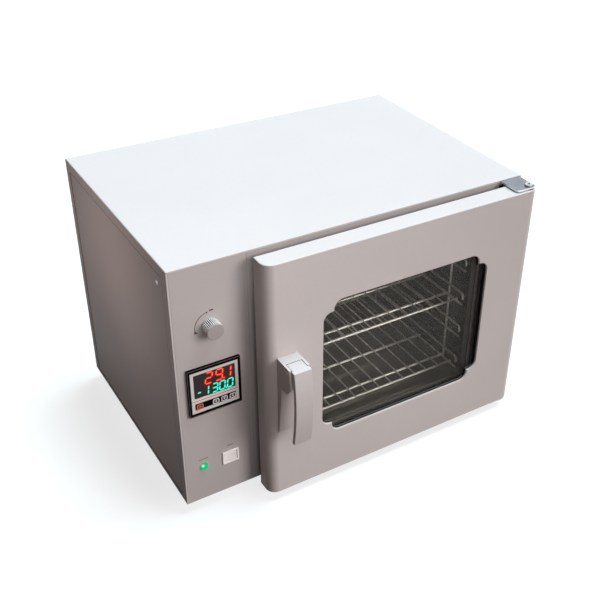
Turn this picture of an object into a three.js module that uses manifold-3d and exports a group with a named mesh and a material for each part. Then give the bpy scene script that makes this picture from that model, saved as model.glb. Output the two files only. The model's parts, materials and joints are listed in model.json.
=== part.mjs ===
// Bench drying oven: a sheet-metal cabinet, a stainless chamber with a fan duct, and a glazed door
// on its right. Lengths are millimetres. x runs right, y runs back and z runs up from the cabinet's
// front bottom left corner.
import * as THREE from 'three';
import { mergeVertices } from 'three/addons/utils/BufferGeometryUtils.js';
import Module from 'manifold-3d';

const wasm = await Module();
wasm.setup();

// Fits
const seatGap = 0.3;
const overrun = 4;
const arcSteps = 2;
const fineArcSteps = 4;

// Cabinet
const cabinetWidth = 580;
const cabinetDepth = 388;
const cabinetHeight = 398;
const shellSheet = 2.4;
const faceSheet = 1.5;
const returnDepth = 12;
const serviceSheet = 1.2;
const serviceFront = 17;
const serviceBack = 14;
const serviceTop = 16;
const serviceBottom = 5;
const serviceLap = 4;
const serviceFieldGap = 1.6;
const serviceFieldInset = 0.5;
const controlWidth = 111;
const traySheet = 1.5;
const trayEdge = 14;
const traySlotLength = 70;
const traySlotWidth = 5;
const traySlotPitch = 12;
const traySlotCount = 6;
const traySlotX = 28;
const traySlotY = 90;
const louvreWidth = 76;
const louvreSlot = 4;
const louvreHood = 2.6;
const louvrePitch = 11;
const louvreCount = 7;
const louvreX = 24;
const louvreDrop = 128;

// Feet
const footHeight = 20;
const footTopRadius = 15;
const footBottomRadius = 13;
const footInset = 45;
const footRecessRadius = 6;
const footRecessDepth = 8;

// Chamber
const chamberLeftRoom = 49.5;
const chamberRightRoom = 77.5;
const chamberBackRoom = 87;
const chamberTopRoom = 77;
const chamberFloorZ = 50;
const chamberCorner = 12;
const linerSheet = 1;
const linerFlange = 6;
const ductDepth = 35;
const baffleSheet = 1;
const insulationWall = 33;

// Baffle openings
const inletHoleRadius = 6;
const inletRingPitch = 17;
const inletRingShares = [1, 2];
const holesInFirstRing = 6;
const holeSides = 6;
const outletSlotWidth = 6;
const outletSlotHeight = 20;
const outletSlotCount = 8;
const outletSlotEnd = 20;
const outletSlotInset = 26;

// Fan
const fanRadius = 62;
const fanWidth = 25;
const fanPlate = 1.6;
const fanRingWidth = 9;
const fanBladeCount = 18;
const fanBladeThickness = 1.6;
const fanBladeChord = 18;
const fanBladeSweep = 0.5;
const fanBladeBelly = 1.2;
const hubRadius = 11;
const shaftRadius = 4;
const motorRadius = 38;
const motorLength = 54;
const motorNeckRadius = 14;
const motorNeckLength = 6;
const motorSlotCount = 6;
const bracketSize = 104;
const bracketSheet = 2;
const bracketPost = 5;
const bracketPostInset = 10;

// Heater
const heaterRingRadius = 84;
const heaterTube = 3.2;
const heaterBend = 12;
const heaterSteps = 24;
const heaterSides = 6;
const heaterGapAngle = 0.34;
const heaterTail = 14;

// Probe and exhaust
const probeRadius = 3;
const probeReach = 34;
const probeTail = 12;
const probeY = 56;
const probeDrop = 34;
const exhaustRadius = 12;
const exhaustWall = 1;
const exhaustDrop = 32;
const ventRadius = 24;
const ventThickness = 3;
const ventSlotWidth = 3;
const ventSlotPitch = 5.5;
const ventSlotCount = 4;

// Shelves and racks
const shelfWireCount = 13;
const shelfWireRadius = 1.5;
const shelfRailRadius = 2.4;
const shelfSideGap = 5.3;
const shelfWireInset = 6.8;
const shelfFrontY = 21;
const shelfBackGap = 15;
const shelfRailShares = [0, 1 / 12, 1 / 3, 2 / 3, 11 / 12, 1];
const shelfWireOverhang = 3;
const shelfSink = 0.8;
const shelfFloorGap = 13.5;
const rackTopLevelDrop = 48.25;
const rackLevels = 4;
const rackWireRadius = 2;
const rackInset = 6;
const rackFrontY = 7;
const rackBackGap = 8;
const rackRise = 16;
const rackCurl = 5;
const rackPostInset = 45;
const rackTopGap = 20;
const rackCurlDrop = 5;
const rackSink = 1;
const rackStudRadius = 3;
const rackStudLevels = [0, 3];
const wireSides = 4;
const railSides = 6;

// Door
const doorGap = 12;
const doorThickness = 31;
const doorLeftGap = 4;
const doorRightInset = 0.4;
const doorBottomDrop = 3.8;
const doorTopDrop = 4.7;
const doorEdgeRadius = 16;
const doorSheet = 1.5;
const windowSideMargin = 7.75;
const windowLowMargin = 25.45;
const windowTopMargin = 11.05;
const windowStep = 17;
const windowRadius = 14;
const windowLip = 3;
const gasketThickness = 2.4;
const gasketShow = 2;
const paneThickness = 4;
const paneMarginX = 14;
const paneMarginZ = 20;
const innerOpeningMargin = 7;
const frameCorner = 10;
const sealWidth = 10;
const sealMargin = 5;
const sealCorner = 20;
const sealRound = 2.5;
const insulationSide = 28;
const insulationEdge = 2;

// Hinges
const pivotInset = 13.6;
const pivotSetback = 10;
const hingeLeafReach = 27;
const hingeLeafPast = 9;
const hingeLeafNose = 7;
const hingeSheet = 3;
const hingeLeg = 45;
const hingeCorner = 6;
const hingeNotch = 4;
const boltRadius = 3.5;
const boltHeadRadius = 6.5;
const boltHeadHeight = 2.4;
const boltReach = 16;
const bushRadius = 7;
const bushFlangeRadius = 8.5;
const bushFlange = 0.8;
const turnClearance = 0.4;

// Handle
const handleInset = 15;
const handleWidth = 32;
const handleTop = 246;
const handleHeight = 131;
const handleBlockDepth = 17;
const cheekThickness = 3.8;
const cheekReachTop = 34;
const cheekReachLow = 37.7;
const cheekLowDrop = 30;
const cheekNotchDrop = 45;
const cheekNotchReach = 26.3;
const plateTopDrop = 59;
const plateTopReach = 11.8;
const plateBottomReach = 2.3;
const leverWidth = 27;
const leverBow = 49.2;
const leverTopReach = 44;
const leverBottomReach = 43;
const leverFootRise = 5.5;
const leverThickness = 6.5;
const leverTopThickness = 7.5;
const leverSteps = 10;
const leverGap = 2;
const leverPinReach = 29;
const leverPinDrop = 6;
const leverPinRadius = 2.2;
const leverRoofThickness = 3;
const leverBossRadius = 5.6;
const tongueThickness = 5;
const tongueOffset = 0.5;
const tongueHeight = 8;
const tongueFall = 20;
const tongueReach = 14;
const tongueNose = 3;
const tongueNoseLength = 8;
const tongueSide = 3;
const leverAngle = 16;

// Strike
const strikeSheet = 1.5;
const strikeMargin = 5;
const pocketWall = 1;
const pocketDepth = 20;

// Knob and its speed control
const knobOffset = 0.5;
const knobDrop = 97;
const knobRadius = 12.2;
const knobRootRadius = 11.4;
const knobLength = 18.5;
const knobRim = 3.5;
const knobChamfer = 0.8;
const knobRibs = 24;
const spindleRadius = 3;
const spindleDepth = 11;
const bushingRadius = 4.5;
const speedBodyRadius = 12.5;
const speedBodyDepth = 10;

// Controller
const controllerOffset = 1.5;
const controllerDrop = 100.5;
const bezelSize = 79;
const bezelDepth = 4.7;
const bezelBevel = 1.4;
const caseMargin = 4;
const caseDepth = 70;
const bezelSideRim = 3.5;
const bezelTopRim = 4.5;
const recessDepth = 2.5;
const faceInset = 0.7;
const faceCorner = 1.5;
const displaySideRim = 5;
const displayTopRim = 5;
const displayBandGap = 8.5;
const keyBandHeight = 11.4;
const keyBandLowRim = 5.1;
const keySize = 10;
const keyHeight = 9;
const keyCorner = 1.2;
const keyRise = 0.6;
const keyTravel = 0.8;
const keyStemRadius = 2;
const keyStemLength = 5;
const keyShares = [-12 / 31, 0, 6.4 / 31, 12.8 / 31];

// Rocker switch
const switchOffset = 18.7;
const switchZ = 62.8;
const switchHalfWidth = 12.9;
const switchHalfHeight = 11.3;
const switchFlange = 2;
const switchBodyHalfWidth = 11.5;
const switchBodyHalfHeight = 9.9;
const switchWall = 1;
const switchDepth = 18;
const switchPivotDepth = 3;
const rockerHalf = 9.2;
const rockerHalfHeight = 8.5;
const rockerRise = 6.5;
const rockerDip = 5;
const rockerShoulder = 1;
const rockerFoot = 5;
const rockerTilt = 10;
const switchTabLength = 8;
const switchTabWidth = 4.8;
const switchTabThickness = 0.8;
const switchTabPitch = 8;

// Pilot lamp
const lampOffset = 23.5;
const lampZ = 62.3;
const lampDomeRadius = 6.2;
const lampDomeHeight = 5.2;
const lampDomeSteps = 4;
const lampBodyRadius = 4.7;
const lampBodyDepth = 20;
const lampNutRadius = 7;
const lampNutDepth = 4;

// Electrics in the machine space
const inletX = 70;
const inletZ = 70;
const inletFlangeWidth = 50;
const inletFlangeHeight = 31;
const inletFlange = 3;
const inletBodyWidth = 28;
const inletBodyHeight = 21;
const inletBodyDepth = 24;
const inletMouthWidth = 24;
const inletMouthHeight = 16.5;
const inletMouthChamfer = 5;
const inletMouthDepth = 17;
const inletPinWidth = 2;
const inletPinHeight = 4;
const inletPinPitch = 7;
const inletPinLength = 13;
const relayX = 22;
const relayBackGap = 62;
const relayWidth = 45;
const relayLength = 58;
const relayHeight = 24;
const relayStep = 12;
const relayStepHeight = 8;
const blockX = 20;
const blockInset = 88;
const blockWidth = 22;
const blockLength = 60;
const blockHeight = 16;
const blockGroove = 2;
const blockPoles = 6;

// Places that follow from the sizes above
const xAxis = new THREE.Vector3(1, 0, 0);
const yAxis = new THREE.Vector3(0, 1, 0);
const zAxis = new THREE.Vector3(0, 0, 1);
const innerLeft = shellSheet + seatGap;
const innerRight = cabinetWidth - shellSheet - seatGap;
const innerTop = cabinetHeight - shellSheet - seatGap;
const wallLeft = controlWidth + chamberLeftRoom;
const insulationLeft = wallLeft - insulationWall;
const ductLeft = wallLeft + linerSheet;
const chamberLeft = ductLeft + ductDepth;
const chamberRight = cabinetWidth - chamberRightRoom - linerSheet;
const chamberTop = cabinetHeight - chamberTopRoom - linerSheet;
const chamberDepth = cabinetDepth - chamberBackRoom - linerSheet;
const chamberWidth = chamberRight - chamberLeft;
const chamberHeight = chamberTop - chamberFloorZ;
const chamberCentreX = (chamberLeft + chamberRight) / 2;
const linerFront = faceSheet + seatGap;
const frameLeft = controlWidth + seatGap;
const louvreZ = cabinetHeight - louvreDrop;
const outletSlotPitch = (chamberHeight - 2 * outletSlotEnd - outletSlotHeight) / (outletSlotCount - 1);
const fanY = chamberDepth / 2;
const fanZ = (chamberFloorZ + chamberTop) / 2;
const probeZ = chamberTop - probeDrop;
const exhaustZ = chamberTop - exhaustDrop;
const shelfDepth = chamberDepth - shelfFrontY - shelfBackGap;
const shelfRailHalf = chamberWidth / 2 - shelfSideGap;
const shelfWirePitch = (2 * (shelfRailHalf - shelfWireInset)) / (shelfWireCount - 1);
const rackPostTop = chamberTop - rackTopGap;
const lowShelfZ = chamberFloorZ + shelfFloorGap;
const shelfLevelPitch = (rackPostTop - rackTopLevelDrop - lowShelfZ) / (rackLevels - 1);
const doorLeft = controlWidth + doorLeftGap;
const doorRight = cabinetWidth - doorRightInset;
const doorBottom = -doorBottomDrop;
const doorTop = cabinetHeight - doorTopDrop;
const doorBack = -doorGap;
const doorFront = doorBack - doorThickness;
const doorInside = doorFront + doorSheet;
const windowLeft = chamberLeft + windowSideMargin;
const windowRight = chamberRight - windowSideMargin;
const windowLow = chamberFloorZ + windowLowMargin;
const windowHigh = chamberTop - windowTopMargin;
const windowWidth = windowRight - windowLeft;
const windowHeight = windowHigh - windowLow;
const windowCentreX = (windowLeft + windowRight) / 2;
const windowCentreZ = (windowLow + windowHigh) / 2;
const gasketFront = doorFront + windowLip + seatGap;
const outerPaneFront = gasketFront + gasketThickness + seatGap;
const glassFrameFront = outerPaneFront + paneThickness + seatGap;
const panelFront = doorBack - doorSheet;
const innerPaneFront = panelFront - seatGap - paneThickness;
const glassFrameBack = innerPaneFront - seatGap;
const pivotX = doorRight - pivotInset;
const pivotY = doorFront + pivotSetback;
const handleLeft = doorLeft + handleInset;
const handleBack = doorFront - seatGap;
const handleBottom = handleTop - handleHeight;
const leverPinY = doorFront - leverPinReach;
const leverPinZ = handleTop - leverPinDrop;
const tongueX = handleLeft + handleWidth / 2 - tongueOffset;
const tongueZ = handleTop - tongueFall;
const tongueHalf = tongueThickness / 2 + tongueSide;
const motorFront = insulationLeft - seatGap - bracketSheet;
const controllerCentreX = controlWidth / 2 - controllerOffset;
const knobX = controllerCentreX + knobOffset;
const knobZ = cabinetHeight - knobDrop;
const controllerCentreZ = knobZ - controllerDrop;
const caseSize = bezelSize - 2 * caseMargin;
const recessWidth = bezelSize - 2 * bezelSideRim;
const recessHeight = bezelSize - 2 * bezelTopRim;
const displayWidth = recessWidth - 2 * displaySideRim;
const displayTop = controllerCentreZ + recessHeight / 2 - displayTopRim;
const keyBandLow = controllerCentreZ - recessHeight / 2 + keyBandLowRim;
const keyBandTop = keyBandLow + keyBandHeight;
const displayLow = keyBandTop + displayBandGap;
const keyZ = (keyBandLow + keyBandTop) / 2;
const keyPlaces = keyShares.map((share) => controllerCentreX + share * displayWidth);
const switchX = controllerCentreX + switchOffset;
const lampX = controllerCentreX - lampOffset;
const blockY = cabinetDepth - blockInset;
const relayY = blockY - relayBackGap - relayLength;

// Materials
const paint = { color: 0xbdb6b3, roughness: 0.5, metalness: 0.1 };
const stainless = { color: 0x8c8a86, roughness: 0.25, metalness: 0.9 };
const wireSteel = { color: 0xcfcdc8, roughness: 0.2, metalness: 1 };
const zinc = { color: 0xa2a5a9, roughness: 0.4, metalness: 0.9 };
const blackPlastic = { color: 0x141414, roughness: 0.45, metalness: 0 };
const whitePlastic = { color: 0xe9e6e2, roughness: 0.35, metalness: 0 };
const greyPlastic = { color: 0xbfb8b4, roughness: 0.4, metalness: 0 };
const blackRubber = { color: 0x1a1a1a, roughness: 0.8, metalness: 0 };
const silicone = { color: 0xb9b4ae, roughness: 0.7, metalness: 0 };
const clearGlass = { color: 0xdfe8e6, roughness: 0.05, metalness: 0, transparent: true, opacity: 0.3 };
const mineralWool = { color: 0xc9bf9a, roughness: 1, metalness: 0 };
const greenLens = { color: 0x19c07a, roughness: 0.2, metalness: 0 };
const darkLens = { color: 0x1c1413, roughness: 0.15, metalness: 0 };
const brass = { color: 0xb59a55, roughness: 0.35, metalness: 1 };

// Turns a geometry into a closed solid that can be joined and cut
function solidOf(geometry) {
  geometry.deleteAttribute('normal');
  geometry.deleteAttribute('uv');
  const merged = mergeVertices(geometry);
  const faces = [];
  const index = merged.index.array;
  for (let i = 0; i < index.length; i += 3) {
    const [a, b, c] = [index[i], index[i + 1], index[i + 2]];
    if (a !== b && b !== c && c !== a) faces.push(a, b, c);
  }
  const vertProperties = merged.attributes.position.array;
  const build = (corners) => new wasm.Manifold(new wasm.Mesh({
    numProp: 3, vertProperties, triVerts: new Uint32Array(corners),
  }));
  const solid = build(faces);
  return solid.volume() > 0 ? solid : build(faces.reverse());
}

// Turns a solid back into a geometry
function geometryOf(solid) {
  const { vertProperties, triVerts } = solid.getMesh();
  const geometry = new THREE.BufferGeometry();
  geometry.setAttribute('position', new THREE.BufferAttribute(vertProperties, 3));
  geometry.setIndex(new THREE.BufferAttribute(triVerts, 1));
  geometry.computeVertexNormals();
  return geometry;
}

const join = (solids) => solids.reduce((sum, solid) => sum.add(solid));
const cut = (solid, cutters) => cutters.reduce((rest, cutter) => rest.subtract(cutter), solid);

// A block between two x, two y and two z values
function block(x0, x1, y0, y1, z0, z1) {
  const geometry = new THREE.BoxGeometry(x1 - x0, y1 - y0, z1 - z0);
  geometry.translate((x0 + x1) / 2, (y0 + y1) / 2, (z0 + z1) / 2);
  return solidOf(geometry);
}

// A round bar along one axis, from one value to the other, at a place across that axis
function bar(axis, radius, from, to, a, b, sides = 16) {
  const geometry = new THREE.CylinderGeometry(radius, radius, to - from, sides);
  const middle = (from + to) / 2;
  if (axis === xAxis) geometry.rotateZ(-Math.PI / 2).translate(middle, a, b);
  if (axis === yAxis) geometry.translate(a, middle, b);
  if (axis === zAxis) geometry.rotateX(Math.PI / 2).translate(a, b, middle);
  return solidOf(geometry);
}

// An outline in x and z, made thick from y0 back to y1
function facingPlate(shape, y0, y1) {
  const geometry = new THREE.ExtrudeGeometry(shape, {
    depth: y1 - y0, bevelEnabled: false, curveSegments: arcSteps,
  });
  geometry.applyMatrix4(new THREE.Matrix4().makeBasis(xAxis, zAxis, yAxis.clone().negate()));
  return solidOf(geometry.translate(0, y1, 0));
}

// An outline in y and z, made thick from x0 to x1
function sidePlate(shape, x0, x1) {
  const geometry = new THREE.ExtrudeGeometry(shape, {
    depth: x1 - x0, bevelEnabled: false, curveSegments: arcSteps,
  });
  geometry.applyMatrix4(new THREE.Matrix4().makeBasis(yAxis, zAxis, xAxis));
  return solidOf(geometry.translate(x0, 0, 0));
}

// An outline in x and y, made thick from z0 up to z1
function levelPlate(shape, z0, z1) {
  const geometry = new THREE.ExtrudeGeometry(shape, {
    depth: z1 - z0, bevelEnabled: false, curveSegments: fineArcSteps,
  });
  return solidOf(geometry.translate(0, 0, z0));
}

// A profile of [radius, y] points turned about a line along y
function turnedAlongY(profile, x, z, sides) {
  const points = profile.map(([radius, y]) => new THREE.Vector2(radius, y));
  return solidOf(new THREE.LatheGeometry(points, sides).translate(x, 0, z));
}

// A profile of [radius, z] points turned about a line along z
function turnedAlongZ(profile, x, y, sides) {
  const points = profile.map(([radius, z]) => new THREE.Vector2(radius, z));
  return solidOf(new THREE.LatheGeometry(points, sides).rotateX(Math.PI / 2).translate(x, y, 0));
}

const outlineOf = (points) => new THREE.Shape(points.map(([a, b]) => new THREE.Vector2(a, b)));

// A rectangle with round corners
function roundedOutline(a0, a1, b0, b1, radius) {
  const shape = new THREE.Shape();
  shape.moveTo(a0 + radius, b0);
  shape.lineTo(a1 - radius, b0);
  shape.absarc(a1 - radius, b0 + radius, radius, -Math.PI / 2, 0);
  shape.lineTo(a1, b1 - radius);
  shape.absarc(a1 - radius, b1 - radius, radius, 0, Math.PI / 2);
  shape.lineTo(a0 + radius, b1);
  shape.absarc(a0 + radius, b1 - radius, radius, Math.PI / 2, Math.PI);
  shape.lineTo(a0, b0 + radius);
  shape.absarc(a0 + radius, b0 + radius, radius, Math.PI, 1.5 * Math.PI);
  return shape;
}

// The window's outline: a rectangle whose corners step in and round, grown on every side
function windowOutline(grow) {
  const shape = new THREE.Shape();
  const radius = windowRadius + grow;
  const [halfWidth, halfHeight] = [windowWidth / 2 + grow, windowHeight / 2 + grow];
  const wide = [halfWidth - radius, halfHeight - windowStep - radius];
  const tall = [halfWidth - windowStep - radius, halfHeight - radius];
  [[1, -1], [1, 1], [-1, 1], [-1, -1]].forEach(([sideX, sideZ], i) => {
    const start = ((i - 1) * Math.PI) / 2;
    const corner = ([x, z]) => shape.absarc(windowCentreX + sideX * x, windowCentreZ + sideZ * z, radius,
      start, start + Math.PI / 2);
    corner(i % 2 ? wide : tall);
    shape.lineTo(windowCentreX + sideX * (halfWidth - windowStep),
      windowCentreZ + sideZ * (halfHeight - windowStep));
    corner(i % 2 ? tall : wide);
  });
  return shape;
}

// A closed solid between two outlines of as many points, drawn in x and z at two depths
function loft(front, yFront, back, yBack) {
  const count = front.length;
  const faces = THREE.ShapeUtils.triangulateShape(front, []);
  const index = [];
  for (const [a, b, c] of faces) index.push(a, b, c, count + c, count + b, count + a);
  for (let i = 0; i < count; i += 1) {
    const j = (i + 1) % count;
    index.push(i, count + i, count + j, i, count + j, j);
  }
  const places = [
    ...front.flatMap((point) => [point.x, yFront, point.y]),
    ...back.flatMap((point) => [point.x, yBack, point.y]),
  ];
  const geometry = new THREE.BufferGeometry();
  geometry.setAttribute('position', new THREE.Float32BufferAttribute(places, 3));
  geometry.setIndex(index);
  return solidOf(geometry);
}

// A path through its points, one step for each
class WirePath extends THREE.Curve {
  constructor(points) {
    super();
    this.points = points;
  }

  getPointAt(share, target = new THREE.Vector3()) {
    const place = share * (this.points.length - 1);
    return target.copy(this.points[Math.round(place)]);
  }

  getTangentAt(share, target = new THREE.Vector3()) {
    const last = this.points.length - 1;
    const here = Math.round(share * last);
    const ahead = this.points[Math.min(here + 1, last)].clone().sub(this.points[Math.min(here, last - 1)]);
    const behind = this.points[Math.max(here, 1)].clone().sub(this.points[Math.max(here - 1, 0)]);
    return target.copy(ahead.normalize()).add(behind.normalize()).normalize();
  }
}

// A wire of round section through a list of [x, y, z] points
function wire(points, radius, sides = wireSides) {
  const path = new WirePath(points.map((point) => new THREE.Vector3(...point)));
  const section = new THREE.Shape();
  for (let i = 0; i < sides; i += 1) {
    const angle = (2 * Math.PI * i) / sides;
    const [a, b] = [radius * Math.cos(angle), radius * Math.sin(angle)];
    if (i === 0) section.moveTo(a, b);
    else section.lineTo(a, b);
  }
  const options = { steps: points.length - 1, extrudePath: path, bevelEnabled: false };
  return solidOf(new THREE.ExtrudeGeometry(section, options));
}

// Points on an arc in y and z, at one x
function arcInSide(x, y, z, radius, from, to, steps) {
  const points = [];
  for (let i = 0; i <= steps; i += 1) {
    const angle = from + ((to - from) * i) / steps;
    points.push([x, y + radius * Math.cos(angle), z + radius * Math.sin(angle)]);
  }
  return points;
}

// A curve through three [y, z] places, as a list of points
function bow(start, middle, end, steps) {
  const points = [];
  for (let i = 0; i <= steps; i += 1) {
    const t = i / steps;
    const [a, b, c] = [2 * (t - 0.5) * (t - 1), -4 * t * (t - 1), 2 * t * (t - 0.5)];
    points.push([0, 1].map((k) => a * start[k] + b * middle[k] + c * end[k]));
  }
  return points;
}

const oven = new THREE.Group();

function addPiece(name, solid, material) {
  const mesh = new THREE.Mesh(geometryOf(solid), new THREE.MeshStandardMaterial(material));
  mesh.name = name;
  oven.add(mesh);
}

// A shallow tray of sheet whose edges return to the back
function foldedFront(x0, x1, z0, z1) {
  const outer = block(x0, x1, 0, returnDepth, z0, z1);
  const hollow = block(x0 + faceSheet, x1 - faceSheet, faceSheet, returnDepth + overrun,
    z0 + faceSheet, z1 - faceSheet);
  return outer.subtract(hollow);
}

// The service window's outline, grown by a margin, between two places across the cabinet
function serviceBlock(x0, x1, margin) {
  return block(x0, x1, serviceFront - margin, cabinetDepth - serviceBack + margin,
    serviceBottom - margin, cabinetHeight - serviceTop + margin);
}

// Cabinet shell, open at the front, back and bottom, with a window in its left side
function makeShell() {
  const outline = outlineOf([
    [0, 0], [shellSheet, 0], [shellSheet, cabinetHeight - shellSheet],
    [cabinetWidth - shellSheet, cabinetHeight - shellSheet], [cabinetWidth - shellSheet, 0],
    [cabinetWidth, 0], [cabinetWidth, cabinetHeight], [0, cabinetHeight],
  ]);
  const serviceWindow = serviceBlock(-overrun, shellSheet + overrun, 0);
  addPiece('cabinet_shell', facingPlate(outline, 0, cabinetDepth).subtract(serviceWindow), paint);
}

// Service panel: a lap behind the window in the left side and a raised field that fills it
function makeServicePanel() {
  const flange = serviceBlock(innerLeft, innerLeft + serviceSheet, serviceLap);
  const field = serviceBlock(serviceFieldInset, innerLeft + serviceSheet, -serviceFieldGap);
  const hollow = serviceBlock(serviceFieldInset + serviceSheet, innerLeft + serviceSheet + overrun,
    -serviceFieldGap - serviceSheet);
  addPiece('service_panel', flange.add(field).subtract(hollow), paint);
}

// Base tray with turned-up edges and air slots under the machine space
function makeBaseTray() {
  const [x0, x1] = [innerLeft + serviceSheet + seatGap, innerRight];
  const [y0, y1] = [returnDepth + seatGap, cabinetDepth - faceSheet - seatGap];
  const outer = block(x0, x1, y0, y1, 0, trayEdge);
  const hollow = block(x0 + traySheet, x1 - traySheet, y0 + traySheet, y1 - traySheet,
    traySheet, trayEdge + overrun);
  const slots = [];
  for (let i = 0; i < traySlotCount; i += 1) {
    const y = traySlotY + i * traySlotPitch;
    slots.push(block(traySlotX, traySlotX + traySlotLength, y, y + traySlotWidth,
      -overrun, traySheet + overrun));
  }
  addPiece('base_tray', cut(outer.subtract(hollow), slots), zinc);
}

// Back panel with pressed louvres over the machine space
function makeBackPanel() {
  const [y0, y1] = [cabinetDepth - faceSheet, cabinetDepth];
  const panel = block(innerLeft, innerRight, y0, y1, 0, innerTop);
  const hoods = [];
  const slots = [];
  for (let i = 0; i < louvreCount; i += 1) {
    const z = louvreZ + i * louvrePitch;
    const hood = outlineOf([
      [y1 - faceSheet / 2, z], [y1 + louvreHood, z], [y1 + louvreHood, z + louvreSlot / 2],
      [y1 - faceSheet / 2, z + 2 * louvreSlot],
    ]);
    hoods.push(sidePlate(hood, louvreX, louvreX + louvreWidth));
    const slot = outlineOf([
      [y0 - overrun, z + faceSheet], [y1 + louvreHood / 2, z - overrun / 2],
      [y1 + louvreHood - faceSheet / 2, z - overrun / 2],
        [y1 + louvreHood - faceSheet / 2, z + faceSheet / 2],
      [y0 - overrun, z + louvreSlot + faceSheet],
    ]);
    slots.push(sidePlate(slot, louvreX + faceSheet, louvreX + louvreWidth - faceSheet));
  }
  const holes = [
    bar(yAxis, exhaustRadius + seatGap, y0 - overrun, y1 + overrun, chamberCentreX, exhaustZ, 16),
    block(inletX - inletBodyWidth / 2 - seatGap, inletX + inletBodyWidth / 2 + seatGap,
      y0 - overrun, y1 + overrun,
      inletZ - inletBodyHeight / 2 - seatGap, inletZ + inletBodyHeight / 2 + seatGap),
  ];
  addPiece('back_panel', cut(join([panel, ...hoods]), [...slots, ...holes]), paint);
}

// Control panel with its cut-outs
function makeControlPanel() {
  const past = [-overrun, faceSheet + overrun];
  const half = caseSize / 2 + seatGap;
  const holes = [
    bar(yAxis, bushingRadius + seatGap, ...past, knobX, knobZ),
    bar(yAxis, lampBodyRadius + seatGap, ...past, lampX, lampZ),
    block(controllerCentreX - half, controllerCentreX + half, ...past,
      controllerCentreZ - half, controllerCentreZ + half),
    block(switchX - switchBodyHalfWidth - seatGap, switchX + switchBodyHalfWidth + seatGap, ...past,
      switchZ - switchBodyHalfHeight - seatGap, switchZ + switchBodyHalfHeight + seatGap),
  ];
  addPiece('control_panel', cut(foldedFront(innerLeft, controlWidth, 0, innerTop), holes), paint);
}

// Pocket behind the strike, which the tongue drops in
const pocket = {
  left: tongueX - tongueHalf,
  right: tongueX + tongueHalf,
  low: tongueZ - tongueHeight / 2 - Math.sin(THREE.MathUtils.degToRad(leverAngle)) * leverPocketRun(),
  high: tongueZ + tongueHeight / 2 + tongueNose + 2 * seatGap,
};

// How far behind the lever's pin the tongue's tip reaches, with the running gap below it
function leverPocketRun() {
  return tongueReach - leverPinY + 2 * seatGap;
}

// Front frame round the chamber's mouth
function makeFrontFrame() {
  const mouth = roundedOutline(chamberLeft, chamberRight, chamberFloorZ, chamberTop, chamberCorner);
  const slotWall = pocketWall + seatGap;
  const holes = [
    facingPlate(mouth, -overrun, faceSheet + overrun),
    block(pocket.left - slotWall, pocket.right + slotWall, -overrun, faceSheet + overrun,
      pocket.low - slotWall, pocket.high + slotWall),
  ];
  addPiece('front_frame', cut(foldedFront(frameLeft, innerRight, 0, innerTop), holes), paint);
}

// Where the heater's two legs pass through the liner's left wall
const heaterLegs = [-1, 1].map((side) => {
  const angle = -Math.PI / 2 + (side * heaterGapAngle) / 2;
  const [y, z] = [fanY + heaterRingRadius * Math.cos(angle), fanZ + heaterRingRadius * Math.sin(angle)];
  return { side, angle, y, z };
});

// Holes through the left wall of the chamber, each wider than its piece by a gap
function leftWallHoles(x0, x1, gap) {
  const legs = heaterLegs.map((leg) => bar(xAxis, heaterTube + gap, x0, x1, leg.y, leg.z, 12));
  return [
    ...legs,
    bar(xAxis, shaftRadius + turnClearance + gap, x0, x1, fanY, fanZ, 16),
    bar(xAxis, probeRadius + gap, x0, x1, probeY, probeZ, 12),
  ];
}

// Chamber liner: one stainless box for the chamber and the duct at its left
function makeLiner() {
  const back = chamberDepth + linerSheet;
  const outer = roundedOutline(ductLeft - linerSheet, chamberRight + linerSheet,
    chamberFloorZ - linerSheet, chamberTop + linerSheet, chamberCorner + linerSheet);
  const inner = roundedOutline(ductLeft, chamberRight, chamberFloorZ, chamberTop, chamberCorner);
  const edge = linerSheet + linerFlange;
  const flange = roundedOutline(ductLeft - edge, chamberRight + edge, chamberFloorZ - edge,
    chamberTop + edge, chamberCorner + edge);
  const rim = facingPlate(flange, linerFront, linerFront + linerSheet);
  const box = facingPlate(outer, linerFront, back).add(rim);
  const holes = [
    facingPlate(inner, linerFront - overrun, chamberDepth),
    bar(yAxis, exhaustRadius + seatGap, chamberDepth - overrun, back + overrun, chamberCentreX, exhaustZ,
      16),
    ...leftWallHoles(wallLeft - overrun, ductLeft + overrun, seatGap),
  ];
  addPiece('chamber_liner', cut(box, holes), stainless);
}

// Places of the bracket's four posts
function bracketPosts() {
  const reach = bracketSize / 2 - bracketPostInset;
  return [-1, 1].flatMap((a) => [-1, 1].map((b) => [fanY + a * reach, fanZ + b * reach]));
}

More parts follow.
